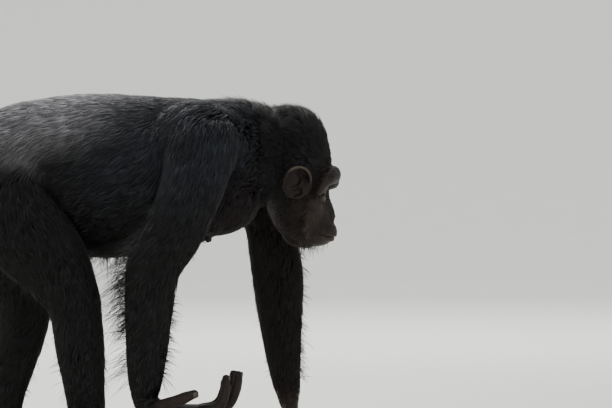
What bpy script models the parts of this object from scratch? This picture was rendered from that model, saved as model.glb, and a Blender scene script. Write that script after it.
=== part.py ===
"""Adult chimpanzee pausing on all fours, life size, with one palm held out above the floor.

Metres, +Z up. The animal faces +X, its left side is +Y, and the floor it stands on is z = 0.
"""

import math

import bmesh
import bpy
import numpy as np
from mathutils import Matrix, Vector
from mathutils.bvhtree import BVHTree

# Driving dimensions
GAP = 0.0003
CORE = 0.5  # how deep into the coat the solid core reaches, 0 at the skin and 1 at the hair tips
BODY_GRAIN = 0.0030  # size of the cells the whole body is fused in
BODY_TRIANGLES = 3770

# Half the head's breadth at the places that are paired
EYE = Vector((0.3930, 0.0275, 0.5615))
EYEBALL = 0.0105
EAR = Vector((0.3440, 0.0830, 0.5945))
EAR_LEAN = math.radians(28)  # the bowed head leans the ears forward
EAR_FLARE = math.radians(20)
EAR_LONG, EAR_SHORT, EAR_THICK, EAR_CUP = 0.0365, 0.0315, 0.0045, 0.0095
EAR_RIM, EAR_RIM_LIFT = 0.0042, 0.0022
EAR_RIM_SWEEP = (-60, 215)  # degrees round the ear
EAR_STALK = (0.357, 0.066, 0.592, 0.014, 0.014, 0.019)  # centre and radii

# Trunk sections from rump to neck: x, lowest and highest hair tip, half width at the hair tips
TRUNK_COAT = 0.022
TRUNK = (
    (-0.432, 0.560, 0.618, 0.034),
    (-0.415, 0.527, 0.655, 0.076),
    (-0.375, 0.502, 0.700, 0.112),
    (-0.320, 0.486, 0.733, 0.134),
    (-0.255, 0.470, 0.760, 0.144),
    (-0.180, 0.450, 0.775, 0.148),
    (-0.100, 0.437, 0.783, 0.152),
    (-0.020, 0.436, 0.782, 0.159),
    (0.060, 0.446, 0.777, 0.166),
    (0.130, 0.462, 0.773, 0.168),
    (0.190, 0.492, 0.769, 0.156),
    (0.235, 0.516, 0.761, 0.128),
    (0.262, 0.548, 0.745, 0.092),
)

# Limb sections, skin to skin: x, y, z, half width, half depth, coat depth
NECK = (
    (0.150, 0, 0.655, 0.100, 0.090, 0.020),
    (0.220, 0, 0.648, 0.090, 0.092, 0.022),
    (0.275, 0, 0.640, 0.074, 0.090, 0.026),
    (0.318, 0, 0.628, 0.054, 0.076, 0.024),
)
RIGHT_ARM = (
    (0.150, -0.122, 0.706, 0.042, 0.052, 0.016),
    (0.150, -0.138, 0.664, 0.052, 0.060, 0.018),
    (0.138, -0.158, 0.603, 0.047, 0.054, 0.018),
    (0.116, -0.170, 0.543, 0.041, 0.048, 0.018),
    (0.084, -0.182, 0.475, 0.037, 0.044, 0.018),
    (0.053, -0.188, 0.425, 0.036, 0.040, 0.016),
    (0.046, -0.192, 0.362, 0.037, 0.038, 0.014),
    (0.042, -0.195, 0.290, 0.033, 0.034, 0.012),
    (0.038, -0.197, 0.222, 0.028, 0.029, 0.010),
    (0.036, -0.198, 0.170, 0.027, 0.023, 0.006),
    (0.036, -0.198, 0.150, 0.027, 0.020, 0.003),
)
LEFT_ARM = (
    (0.196, 0.124, 0.706, 0.042, 0.052, 0.016),
    (0.208, 0.138, 0.664, 0.052, 0.060, 0.018),
    (0.244, 0.150, 0.595, 0.046, 0.054, 0.018),
    (0.284, 0.155, 0.520, 0.040, 0.046, 0.018),
    (0.297, 0.152, 0.450, 0.038, 0.042, 0.018),
    (0.305, 0.148, 0.390, 0.036, 0.042, 0.017),
    (0.309, 0.142, 0.325, 0.036, 0.038, 0.014),
    (0.313, 0.134, 0.255, 0.032, 0.032, 0.012),
    (0.319, 0.127, 0.190, 0.028, 0.026, 0.009),
    (0.325, 0.122, 0.145, 0.029, 0.022, 0.005),
    (0.327, 0.120, 0.122, 0.029, 0.019, 0.002),
)
RIGHT_LEG = (
    (-0.285, -0.060, 0.615, 0.062, 0.095, 0.018),
    (-0.258, -0.085, 0.560, 0.058, 0.094, 0.018),
    (-0.210, -0.104, 0.490, 0.051, 0.080, 0.018),
    (-0.155, -0.118, 0.420, 0.045, 0.062, 0.016),
    (-0.116, -0.126, 0.355, 0.040, 0.044, 0.014),
    (-0.106, -0.128, 0.295, 0.037, 0.040, 0.014),
    (-0.098, -0.125, 0.225, 0.033, 0.037, 0.012),
    (-0.090, -0.118, 0.145, 0.025, 0.030, 0.010),
    (-0.086, -0.113, 0.090, 0.025, 0.031, 0.006),
    (-0.084, -0.112, 0.050, 0.026, 0.033, 0.002),
)
LEFT_LEG = (
    (-0.292, 0.060, 0.615, 0.062, 0.095, 0.018),
    (-0.285, 0.085, 0.560, 0.058, 0.092, 0.018),
    (-0.270, 0.104, 0.480, 0.051, 0.078, 0.018),
    (-0.254, 0.118, 0.400, 0.045, 0.060, 0.016),
    (-0.240, 0.126, 0.325, 0.040, 0.045, 0.014),
    (-0.250, 0.124, 0.262, 0.037, 0.040, 0.014),
    (-0.268, 0.116, 0.195, 0.032, 0.035, 0.012),
    (-0.280, 0.108, 0.130, 0.025, 0.029, 0.010),
    (-0.284, 0.103, 0.088, 0.025, 0.029, 0.006),
    (-0.284, 0.102, 0.050, 0.026, 0.031, 0.002),
)

# Palms, wrist to knuckles: x, y, z, half width, half thickness
RIGHT_PALM = (
    (0.030, -0.198, 0.148, 0.026, 0.018),
    (0.054, -0.198, 0.137, 0.033, 0.017),
    (0.088, -0.199, 0.131, 0.040, 0.015),
    (0.126, -0.199, 0.130, 0.043, 0.0140),
    (0.158, -0.198, 0.132, 0.041, 0.0120),
)
LEFT_PALM = (
    (0.326, 0.120, 0.138, 0.029, 0.018),
    (0.330, 0.120, 0.112, 0.034, 0.0165),
    (0.338, 0.120, 0.082, 0.041, 0.0145),
    (0.347, 0.120, 0.056, 0.042, 0.0125),
)
# Fingers from knuckle to tip, each joint as x, y, z, radius, index first and the thumb last
RIGHT_FINGERS = (
    ((0.150, -0.231, 0.132, 0.0118), (0.187, -0.237, 0.141, 0.0110),
     (0.201, -0.238, 0.173, 0.0100), (0.202, -0.237, 0.199, 0.0084)),
    ((0.154, -0.208, 0.131, 0.0122), (0.203, -0.212, 0.142, 0.0114),
     (0.222, -0.212, 0.177, 0.0104), (0.227, -0.211, 0.205, 0.0088)),
    ((0.152, -0.185, 0.131, 0.0120), (0.198, -0.187, 0.143, 0.0112),
     (0.215, -0.187, 0.178, 0.0102), (0.216, -0.186, 0.205, 0.0086)),
    ((0.146, -0.164, 0.132, 0.0108), (0.180, -0.162, 0.141, 0.0098),
     (0.194, -0.162, 0.166, 0.0090), (0.196, -0.162, 0.187, 0.0078)),
    ((0.058, -0.222, 0.136, 0.0165), (0.090, -0.244, 0.148, 0.0134),
     (0.119, -0.250, 0.160, 0.0116), (0.139, -0.249, 0.168, 0.0092)),
)
LEFT_FINGERS = (
    ((0.345, 0.086, 0.058, 0.0110), (0.365, 0.081, 0.013, 0.0098),
     (0.333, 0.083, 0.0085, 0.0090), (0.319, 0.085, 0.022, 0.0078)),
    ((0.347, 0.109, 0.058, 0.0115), (0.372, 0.107, 0.013, 0.0102),
     (0.335, 0.107, 0.0085, 0.0094), (0.319, 0.108, 0.023, 0.0080)),
    ((0.347, 0.131, 0.058, 0.0112), (0.369, 0.132, 0.013, 0.0100),
     (0.335, 0.132, 0.0085, 0.0092), (0.320, 0.131, 0.022, 0.0078)),
    ((0.344, 0.152, 0.058, 0.0102), (0.360, 0.157, 0.012, 0.0090),
     (0.333, 0.156, 0.0080, 0.0084), (0.321, 0.154, 0.020, 0.0070)),
    ((0.327, 0.094, 0.112, 0.0130), (0.339, 0.076, 0.092, 0.0105),
     (0.351, 0.068, 0.074, 0.0088), (0.358, 0.066, 0.060, 0.0070)),
)

# One foot round its ankle, heel to toes: forward, outward, up, half width, half height
FOOT = (
    (-0.046, 0.000, 0.024, 0.019, 0.021),
    (-0.026, 0.000, 0.033, 0.027, 0.034),
    (0.006, 0.001, 0.036, 0.030, 0.036),
    (0.050, 0.003, 0.026, 0.033, 0.027),
    (0.090, 0.006, 0.018, 0.040, 0.019),
    (0.118, 0.008, 0.015, 0.041, 0.015),
)
TOES = (
    ((0.112, -0.022, 0.013, 0.0110), (0.150, -0.028, 0.016, 0.0098),
     (0.174, -0.028, 0.0095, 0.0080)),
    ((0.116, -0.003, 0.013, 0.0108), (0.156, -0.005, 0.017, 0.0098),
     (0.182, -0.005, 0.0095, 0.0080)),
    ((0.114, 0.016, 0.013, 0.0105), (0.150, 0.017, 0.016, 0.0094),
     (0.174, 0.017, 0.0090, 0.0078)),
    ((0.106, 0.034, 0.013, 0.0100), (0.138, 0.037, 0.014, 0.0088),
     (0.158, 0.037, 0.0085, 0.0074)),
    ((0.034, -0.018, 0.019, 0.0175), (0.074, -0.044, 0.017, 0.0140),
     (0.104, -0.056, 0.014, 0.0122), (0.126, -0.058, 0.011, 0.0098)),
)

# Skull slices from jaw to crown: z, front x, back x, half width
SKULL = (
    (0.470, 0.385, 0.345, 0.020),
    (0.482, 0.400, 0.322, 0.040),
    (0.505, 0.405, 0.302, 0.053),
    (0.530, 0.406, 0.292, 0.060),
    (0.555, 0.404, 0.284, 0.0635),
    (0.580, 0.408, 0.278, 0.0660),
    (0.605, 0.417, 0.274, 0.0665),
    (0.630, 0.418, 0.273, 0.0650),
    (0.655, 0.409, 0.274, 0.0620),
    (0.680, 0.397, 0.278, 0.0570),
    (0.702, 0.383, 0.286, 0.0490),
    (0.720, 0.364, 0.298, 0.0370),
    (0.731, 0.345, 0.312, 0.0200),
)
SCALP_FRONT, SCALP_COAT = 0.640, 0.020  # the coat starts above the brow
# Muzzle slices from chin to the root of the nose, as above
MUZZLE = (
    (0.4615, 0.392, 0.340, 0.014),
    (0.4650, 0.405, 0.335, 0.025),
    (0.4710, 0.417, 0.330, 0.033),
    (0.4790, 0.4245, 0.330, 0.0385),
    (0.4870, 0.4275, 0.330, 0.0412),
    (0.4945, 0.4285, 0.330, 0.0420),
    (0.5020, 0.4262, 0.330, 0.0415),
    (0.5090, 0.4230, 0.330, 0.0395),
    (0.5180, 0.4195, 0.330, 0.0362),
    (0.5300, 0.4145, 0.330, 0.0320),
    (0.5430, 0.4095, 0.330, 0.0270),
    (0.5560, 0.4040, 0.330, 0.0200),
)
MUZZLE_BLUNT = 0.82  # below 1 the slices are squarer than ovals
MUZZLE_MIDDLE = 0.372
# Bars of the face: x, y, z, half depth along x and half height, from the middle out or down
BROW = (
    (0.3880, 0.0590, 0.5720, 0.0080, 0.0090),
    (0.3990, 0.0540, 0.5910, 0.0110, 0.0130),
    (0.4125, 0.0400, 0.6050, 0.0135, 0.0165),
    (0.4210, 0.0200, 0.6110, 0.0145, 0.0185),
    (0.4220, 0.0000, 0.6110, 0.0145, 0.0195),
)
NOSE = (
    (0.4040, 0.0000, 0.5790, 0.0060, 0.0075),
    (0.4065, 0.0000, 0.5600, 0.0068, 0.0080),
    (0.4125, 0.0000, 0.5400, 0.0085, 0.0090),
    (0.4165, 0.0000, 0.5250, 0.0112, 0.0085),
    (0.4155, 0.0000, 0.5180, 0.0120, 0.0070),
)
# Rounded masses: centre x, y, z and radii, each with its twin on the other side if y isn't 0
FACE_MASSES = (
    (0.4165, 0.0000, 0.5960, 0.0165, 0.0230, 0.0150),
    (0.4135, 0.0115, 0.5195, 0.0085, 0.0078, 0.0075),
    (0.3930, 0.0275, 0.5615, 0.0130, 0.0130, 0.0130),
    (0.3730, 0.0440, 0.5500, 0.0250, 0.0190, 0.0200),
    (0.3500, 0.0360, 0.5050, 0.0330, 0.0190, 0.0300),
)
TRUNK_MASSES = (
    (0.138, 0.106, 0.668, 0.090, 0.050, 0.078),
    (0.175, 0.070, 0.560, 0.080, 0.070, 0.060),
    (-0.300, 0.075, 0.605, 0.100, 0.062, 0.090),
)
NIPPLES = ((0.158, 0.060, 0.492), (0.159, 0.060, 0.473), 0.0062)

# Lips and nostrils, found on the surface of the muzzle
MOUTH_HEIGHT, MOUTH_CORNER_RISE, MOUTH_SPREAD = 0.4795, 0.007, math.radians(74)
MOUTH_RADIUS, MOUTH_POINTS = 0.0017, 11
LIP_RADIUS, LIP_RISE = 0.0040, 0.0052
NOSTRIL = (0.0072, 0.5178, 0.0036, 0.0024)  # y, z, half width, half height

# Places that keep their detail: centre, reach and how much of it
DETAIL_SPOTS = (
    (0.400, 0.000, 0.545, 0.085, 0.90),
    (0.345, 0.083, 0.595, 0.046, 0.985),
    (0.345, -0.083, 0.595, 0.046, 0.985),
    (0.130, -0.200, 0.140, 0.125, 0.84),
    (0.340, 0.115, 0.050, 0.085, 0.84),
    (-0.020, -0.112, 0.020, 0.130, 0.78),
    (-0.220, 0.102, 0.020, 0.130, 0.78),
    (0.158, 0.062, 0.470, 0.020, 0.80),
    (0.158, -0.062, 0.470, 0.020, 0.80),
)

# Planes that part the trunk from the front back: name of the piece in front, point, normal
TRUNK_PLANES = (
    ("head", (0.302, 0, 0.620), (0.970, 0, 0.243)),
    ("neck", (0.238, 0, 0.650), (0.940, 0, 0.342)),
    ("chest", (0.020, 0, 0.600), (1, 0, 0)),
    ("belly", (-0.205, 0, 0.600), (1, 0, 0)),
)
# How far down the limbs the elbow and knee lie, as section numbers
ELBOW, KNEE = 5, 4
LIMB_MARGIN = 0.013
BLOCK = 2.0
EAR_ROOT = 0.0075  # from the middle of the ear's plate in to where its root is cut
# Hands and feet, each below a plane through its wrist or ankle: pivot, reach back and forward,
# width and height, slope
END_BLOCKS = (
    ("hand_right", (0.036, -0.205, 0.172), (-0.08, 0.25), (0.140, 0.110), math.radians(20)),
    ("hand_left", (0.330, 0.120, 0.132), (-0.08, 0.09), (0.160, 0.200), 0),
    ("foot_right", (-0.084, -0.110, 0.070), (-0.09, 0.25), (0.190, 0.120), 0),
    ("foot_left", (-0.284, 0.105, 0.070), (-0.09, 0.25), (0.190, 0.120), 0),
)

# Locks of the coat
LOCK_SEED = 7
LOCK_STATIONS = (0.0, 0.26, 0.64, 1.0)  # along the lock, root to tip, which is a point
LOCK_WIDTHS = (0.70, 1.0, 0.86)
LOCK_THICKNESSES = (0.9, 1.0, 0.8)
LOCK_HEIGHTS = (-1.4, 0.42, 0.85, 1.20)  # of its middle over the core, in reaches
LOCK_SPREAD = math.radians(13)  # how far a lock strays from the lie
LOCK_CLEAR = 0.0005
LOCK_LOWEST = 0.012
LOCK_THICK = 0.0065
LOCK_SINK = 0.014
LOCK_TRIES = ((1, 1, 1), (1, 0.8, 1.5), (0.8, 0.8, 1.1), (0.8, 0.7, 1.9), (0.6, 0.65, 1.0), (0.55, 0.5, 1.6))
# Rings of locks on a trunk node: node, x, angles of the first and last, how many,
# length, width, reach over the core
TRUNK_LOCKS = (
    ("chest", 0.225, 20, 160, 4, 0.130, 0.076, 0.011),
    ("chest", 0.180, -60, 240, 7, 0.150, 0.078, 0.011),
    ("chest", 0.110, -85, 250, 9, 0.155, 0.080, 0.011),
    ("belly", 0.000, -75, 245, 8, 0.150, 0.086, 0.011),
    ("belly", -0.065, -95, 262, 9, 0.150, 0.084, 0.011),
    ("belly", -0.130, -80, 255, 8, 0.150, 0.086, 0.011),
    ("rump", -0.228, -20, 200, 6, 0.140, 0.082, 0.011),
    ("rump", -0.285, -35, 215, 7, 0.135, 0.076, 0.011),
    ("rump", -0.340, -20, 200, 6, 0.120, 0.074, 0.011),
    ("rump", -0.390, -35, 215, 5, 0.100, 0.066, 0.010),
)
NECK_LOCKS = (
    ("neck", 0.280, -10, 190, 6, 0.060, 0.052, 0.012),
    ("head", 0.402, 62, 118, 3, 0.075, 0.036, 0.009),
    ("head", 0.385, 30, 150, 5, 0.080, 0.036, 0.010),
    ("head", 0.358, 12, 168, 6, 0.080, 0.040, 0.010),
    ("head", 0.328, -12, 192, 7, 0.080, 0.042, 0.011),
)
NECK_MIDDLE = 0.640
# Rings of locks on a limb: node, place along its sections, first angle, how many, length, width, reach
ARM_RINGS = (
    ("upper_arm", 0.35, 40, 4, 0.125, 0.066, 0.009),
    ("upper_arm", 1.5, 0, 4, 0.135, 0.070, 0.009),
    ("upper_arm", 2.7, 45, 4, 0.125, 0.064, 0.009),
    ("upper_arm", 3.8, 0, 4, 0.105, 0.058, 0.009),
    ("forearm", 5.4, 45, 4, 0.115, 0.054, 0.008),
    ("forearm", 6.8, 0, 4, 0.105, 0.048, 0.007),
)
LEG_RINGS = (
    ("thigh", 0.9, 30, 5, 0.120, 0.070, 0.009),
    ("thigh", 1.8, 0, 4, 0.130, 0.072, 0.009),
    ("thigh", 2.9, 45, 4, 0.110, 0.064, 0.009),
    ("shin", 4.5, 0, 4, 0.115, 0.056, 0.007),
    ("shin", 5.7, 45, 4, 0.095, 0.048, 0.006),
)
# Fringes that hang free: node, first and last root, which way, how many, length, width
FRINGES = (
    ("upper_arm_right", (0.050, -0.188, 0.500), (0.028, -0.190, 0.436), (-0.50, 0, -0.86), 3, 0.100, 0.040),
    ("forearm_right", (0.016, -0.192, 0.395), (0.012, -0.196, 0.280), (-0.40, 0, -0.92), 4, 0.085, 0.036),
    ("upper_arm_left", (0.260, 0.152, 0.460), (0.270, 0.150, 0.410), (-0.20, 0, -0.98), 2, 0.050, 0.036),
    ("belly", (-0.040, -0.055, 0.452), (-0.170, -0.055, 0.462), (-0.75, 0, -0.66), 3, 0.065, 0.042),
    ("belly", (-0.040, 0.055, 0.452), (-0.170, 0.055, 0.462), (-0.75, 0, -0.66), 3, 0.065, 0.042),
)
EYE_TURN = math.radians(14)  # how far each eye faces outwards
EYE_OPENING = (0.0120, 0.0118, 0.0062)

COAT_BLACK = (0.018, 0.017, 0.018, 1)
COAT_GREY = (0.060, 0.056, 0.053, 1)
SKIN_DARK = (0.045, 0.034, 0.029, 1)
EYE_BROWN = (0.050, 0.022, 0.010, 1)


def material(name, colour, roughness):
    made = bpy.data.materials.new(name)
    made.use_nodes = True
    shader = made.node_tree.nodes["Principled BSDF"]
    shader.inputs["Base Color"].default_value = colour
    shader.inputs["Roughness"].default_value = roughness
    shader.inputs["Metallic"].default_value = 0.0
    made.diffuse_color = colour
    return made


def eased(rows, steps):
    """Rows of numbers read off a smooth curve through them, with so many steps from each to the next."""
    rows = np.array(rows, float)
    before = np.vstack([2 * rows[0] - rows[1], rows[:-1]])
    after = np.vstack([rows[1:], 2 * rows[-1] - rows[-2]])
    slope = (after - before) / 2
    found = []
    for i in range(len(rows) - 1):
        for t in np.arange(steps) / steps:
            start = (1 + 2 * t) * (1 - t) ** 2 * rows[i] + t * (1 - t) ** 2 * slope[i]
            end = t * t * (3 - 2 * t) * rows[i + 1] - t * t * (1 - t) * slope[i + 1]
            found.append(start + end)
    return np.array(found + [rows[-1]])


def lofted(rings):
    """A closed bmesh through rings of points that all have the same count."""
    shape = bmesh.new()
    rows = [[shape.verts.new(point) for point in ring] for ring in rings]
    for low, high in zip(rows, rows[1:]):
        for i in range(len(low)):
            j = (i + 1) % len(low)
            shape.faces.new((low[i], low[j], high[j], high[i]))
    shape.faces.new(rows[0][::-1])
    shape.faces.new(rows[-1])
    bmesh.ops.recalc_face_normals(shape, faces=shape.faces)
    # Two lofts that differ only by a gap take the same diagonals, so they stay parallel.
    bmesh.ops.triangulate(shape, faces=shape.faces, quad_method="FIXED")
    return shape


def tube(rows, side=(0, 1, 0), steps=3, sides=20, cap=0.7, grow=0.0):
    """A round-ended limb. Each row is x, y, z, half width along side, half depth across it."""
    rows = eased([row[:5] for row in rows], steps)
    centres, radii = rows[:, :3], rows[:, 3:5] + grow
    along = np.gradient(centres, axis=0)
    along /= np.linalg.norm(along, axis=1)[:, None]
    turns = np.linspace(0, 2 * math.pi, sides, endpoint=False)
    rings = []

    def ring(i, out, shrink):
        wide = np.array(side) - along[i] * (along[i] @ np.array(side))
        wide /= np.linalg.norm(wide)
        deep = np.cross(along[i], wide)
        centre = centres[i] + along[i] * out
        oval = np.outer(np.cos(turns) * radii[i, 0], wide) + np.outer(np.sin(turns) * radii[i, 1], deep)
        rings.append(centre + oval * shrink)

    for angle in (80, 55, 28):
        turn = math.radians(angle)
        ring(0, -cap * radii[0].min() * math.sin(turn), math.cos(turn))
    for i in range(len(rows)):
        ring(i, 0, 1)
    for angle in (28, 55, 80):
        turn = math.radians(angle)
        ring(-1, cap * radii[-1].min() * math.sin(turn), math.cos(turn))
    return lofted(rings)


def coated(rows, depth):
    """Limb rows with their coat added, as deep as the given share of it."""
    return [row[:3] + (row[3] + row[5] * depth, row[4] + row[5] * depth) for row in rows]


def mass(row, flip=1):
    """An egg-shaped mass: centre, then radii along x, y and z."""
    shape = bmesh.new()
    place = Matrix.Translation((row[0], row[1] * flip, row[2]))
    size = Matrix.Diagonal((row[3], row[4], row[5], 1))
    bmesh.ops.create_icosphere(shape, subdivisions=3, radius=1, matrix=place @ size)
    return shape


def paired(rows):
    """Masses with their twins."""
    return [mass(row, flip) for row in rows for flip in ((1, -1) if row[1] else (1,))]


def trunk(depth):
    """The barrel of the body, flatter below than above."""
    inset = TRUNK_COAT * (1 - depth)
    turns = np.linspace(0, 2 * math.pi, 28, endpoint=False)
    rings = []
    for x, low, high, half in eased(TRUNK, 3):
        middle, tall, wide = (low + high) / 2, (high - low) / 2 - inset, half - inset
        across = np.sign(np.cos(turns)) * np.abs(np.cos(turns)) ** 0.9 * max(wide, 0.01)
        up = np.sin(turns) * max(tall, 0.01)
        rings.append([(x, y, middle + z) for y, z in zip(across, up)])
    return lofted(rings)


def skull(depth):
    """Head without its features, as level slices from jaw to crown."""
    turns = np.linspace(0, 2 * math.pi, 28, endpoint=False)
    rings = []
    for z, front, back, half in eased(SKULL, 3):
        furred = np.clip((z - SCALP_FRONT) / 0.04, 0, 1)
        coat = SCALP_COAT * depth
        middle = (front + back) / 2
        reach = (front - back) / 2
        fore = reach + coat * furred
        aft = reach + coat
        wide = half + coat * furred
        rise = coat * np.clip((z - 0.68) / 0.05, 0, 1)
        rings.append([
            (middle + (fore if math.cos(t) > 0 else aft) * math.cos(t), wide * math.sin(t), z + rise)
            for t in turns
        ])
    return lofted(rings)


def muzzle_point(angle, z, out=0.0):
    """The point of the muzzle's surface at a height and at an angle from straight ahead."""
    rows = eased(MUZZLE, 6)
    heights = rows[:, 0]
    front, half = np.interp(z, heights, rows[:, 1]), np.interp(z, heights, rows[:, 3])
    bluntness = MUZZLE_BLUNT if abs(math.cos(angle)) > 1e-9 else 1
    fore = math.copysign(abs(math.cos(angle)) ** bluntness, math.cos(angle))
    side = math.copysign(abs(math.sin(angle)) ** MUZZLE_BLUNT, math.sin(angle))
    return (
        MUZZLE_MIDDLE + (front - MUZZLE_MIDDLE + out) * fore,
        (half + out) * side,
        z,
    )


def muzzle():
    turns = np.linspace(0, 2 * math.pi, 36, endpoint=False)
    return lofted([[muzzle_point(turn, z) for turn in turns] for z in eased(MUZZLE, 2)[:, 0]])


def mouth_line(rise, out):
    """Points along the mouth from corner to corner, its corners a little higher."""
    points = []
    for share in np.linspace(-1, 1, MOUTH_POINTS):
        height = MOUTH_HEIGHT + MOUTH_CORNER_RISE * abs(share) ** 2.5 + rise * (1 - 0.75 * share ** 4)
        points.append(muzzle_point(share * MOUTH_SPREAD, height, out))
    return points


def ear(flip):
    """Cupped ear on a short root, with a rolled rim from the front over the top and down to the lobe."""
    long_way = Vector((math.sin(EAR_LEAN), 0, math.cos(EAR_LEAN)))
    out = Vector((math.sin(EAR_FLARE), math.cos(EAR_FLARE), 0))
    short_way = out.cross(long_way).normalized()
    out = long_way.cross(short_way).normalized()
    turn = Matrix.Translation(EAR) @ Matrix((short_way, long_way, out)).transposed().to_4x4()
    plate = bmesh.new()
    bmesh.ops.create_icosphere(plate, subdivisions=4, radius=1)
    for vertex in plate.verts:
        flat = vertex.co
        round_way = min(1, math.hypot(flat.x, flat.y))
        dip = EAR_CUP * (1 - round_way ** 2.5)
        vertex.co = turn @ Vector((flat.x * EAR_SHORT, flat.y * EAR_LONG, flat.z * EAR_THICK - dip))
    rim = []
    for angle in np.radians(np.linspace(*EAR_RIM_SWEEP, 13)):
        rim.append(turn @ Vector((
            math.cos(angle) * (EAR_SHORT - EAR_RIM), math.sin(angle) * (EAR_LONG - EAR_RIM), EAR_RIM_LIFT,
        )))
    shapes = [
        plate,
        tube([tuple(point) + (EAR_RIM, EAR_RIM) for point in rim], side=tuple(out), steps=1, sides=10),
    ]
    root = bmesh.new()
    bmesh.ops.create_icosphere(
        root, subdivisions=3, radius=1,
        matrix=Matrix.Translation(EAR_STALK[:3]) @ Matrix.Diagonal(EAR_STALK[3:] + (1,)),
    )
    shapes.append(root)
    for shape in shapes:
        for vertex in shape.verts:
            vertex.co.y *= flip
        bmesh.ops.recalc_face_normals(shape, faces=shape.faces)
    return shapes


def finger(joints):
    rows = [joint + (joint[3],) for joint in joints]
    return tube(rows, steps=4, sides=12, cap=0.95, side=(0, 1, 0.01))


def foot(ankle, flip):
    """Sole, toes and the thumb-like great toe. Outward is away from the other foot."""
    def placed(row):
        return (ankle[0] + row[0], ankle[1] + flip * row[1], row[2]) + tuple(row[3:])

    sole = tube([placed(row) for row in FOOT], steps=3, sides=18, cap=0.9)
    return [sole] + [finger([placed(joint) for joint in toe]) for toe in TOES]


def flesh(depth):
    """Every form of the body, to be fused into one, with the coat as deep as the given share."""
    forms = [trunk(depth), skull(depth), muzzle()] + paired(TRUNK_MASSES) + paired(FACE_MASSES)
    forms.append(tube(NOSE))
    for rise in (LIP_RISE, -LIP_RISE):
        forms.append(tube([
            point + (LIP_RADIUS, LIP_RADIUS) for point in mouth_line(rise, 0.0008 - LIP_RADIUS)
        ], side=(0, 0, 1), steps=1, sides=10))
    forms.append(tube(coated(NECK, depth)))
    for rows in (RIGHT_ARM, LEFT_ARM, RIGHT_LEG, LEFT_LEG):
        forms.append(tube(coated(rows, depth)))
    forms.append(tube(RIGHT_PALM))
    forms.append(tube(LEFT_PALM))
    forms += [finger(joints) for joints in RIGHT_FINGERS + LEFT_FINGERS]
    forms += foot(RIGHT_LEG[-1], -1) + foot(LEFT_LEG[-1], 1)
    for flip in (1, -1):
        brow = [(x, y * flip, z, deep, tall) for x, y, z, deep, tall in BROW]
        forms.append(tube(brow, side=(1, 0, 0.001)))
        forms += ear(flip)
        top, tip, radius = NIPPLES
        forms.append(finger([(x, y * flip, z, radius) for x, y, z in (top, tip)]))
    return forms


def object_of(name, mesh, collection):
    made = bpy.data.objects.new(name, mesh)
    collection.objects.link(made)
    return made


def mesh_of(name, shapes):
    """One mesh holding each of the bmeshes, which are freed."""
    whole = bmesh.new()
    for shape in shapes:
        part = bpy.data.meshes.new(name)
        shape.to_mesh(part)
        shape.free()
        whole.from_mesh(part)
        bpy.data.meshes.remove(part)
    mesh = bpy.data.meshes.new(name)
    whole.to_mesh(mesh)
    whole.free()
    return mesh


def applied(thing):
    """Gives the object the mesh that its modifiers make, and drops them."""
    graph = bpy.context.evaluated_depsgraph_get()
    graph.update()
    mesh = bpy.data.meshes.new_from_object(thing.evaluated_get(graph))
    thing.modifiers.clear()
    old, thing.data = thing.data, mesh
    bpy.data.meshes.remove(old)


def detail_weight(points):
    """Near 1 on the face, ears, hands and feet, falling to 0 on the coated body."""
    spots = np.array(DETAIL_SPOTS)
    away = np.linalg.norm(points[:, None] - spots[None, :, :3], axis=2) / spots[:, 3]
    return (np.clip((1.15 - away) / 0.3, 0, 1) * spots[:, 4]).max(axis=1)


def weighted(thing, name, weights):
    group = thing.vertex_groups.new(name=name)
    for level in range(101):
        chosen = np.flatnonzero(np.round(weights * 100).astype(int) == level)
        group.add(chosen.tolist(), level / 100, "REPLACE")


def points_of(mesh):
    points = np.empty(len(mesh.vertices) * 3)
    mesh.vertices.foreach_get("co", points)
    return points.reshape(-1, 3)


def fused_body(collection, triangles):
    """The whole body as one closed skin, smooth where forms meet and with flats where it stands."""
    body = object_of("body", mesh_of("body", flesh(CORE)), collection)
    remesh = body.modifiers.new("fuse", "REMESH")
    remesh.mode = "VOXEL"
    remesh.voxel_size = BODY_GRAIN
    applied(body)
    detail = detail_weight(points_of(body.data))
    weighted(body, "coated", 1 - detail)
    weighted(body, "bare", detail)
    weighted(body, "thinned", 1 - detail)
    for group, turns in (("coated", 14), ("bare", 4)):
        smooth = body.modifiers.new("smooth " + group, "SMOOTH")
        smooth.factor = 0.5
        smooth.iterations = turns
        smooth.vertex_group = group
    applied(body)
    points = points_of(body.data)
    points[:, 2] = np.maximum(points[:, 2], 0)
    body.data.vertices.foreach_set("co", points.ravel())
    body.data.update()
    thin = body.modifiers.new("thin out", "DECIMATE")
    thin.ratio = triangles / (2 * len(body.data.polygons))
    thin.vertex_group = "thinned"
    thin.vertex_group_factor = 1.0
    thin.use_collapse_triangulate = True
    applied(body)
    points = points_of(body.data)
    points[:, 2][points[:, 2] < 0.0006] = 0
    body.data.vertices.foreach_set("co", points.ravel())
    body.data.update()
    return body


def boolean(thing, cutters, operation, solver="MANIFOLD"):
    """Cuts or joins with the objects given, which are removed."""
    helpers = bpy.data.collections.new("cutters")
    bpy.context.scene.collection.children.link(helpers)
    for cutter in cutters:
        for old in cutter.users_collection:
            old.objects.unlink(cutter)
        helpers.objects.link(cutter)
        cutter.display_type = "WIRE"
        cutter.hide_render = True
    step = thing.modifiers.new("cut", "BOOLEAN")
    step.operation = operation
    step.solver = solver
    step.operand_type = "COLLECTION"
    step.collection = helpers
    applied(thing)
    for cutter in cutters:
        old = cutter.data
        bpy.data.objects.remove(cutter)
        bpy.data.meshes.remove(old)
    bpy.data.collections.remove(helpers)


def copy_of(thing, name):
    made = bpy.data.objects.new(name, thing.data.copy())
    thing.users_collection[0].objects.link(made)
    return made


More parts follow.
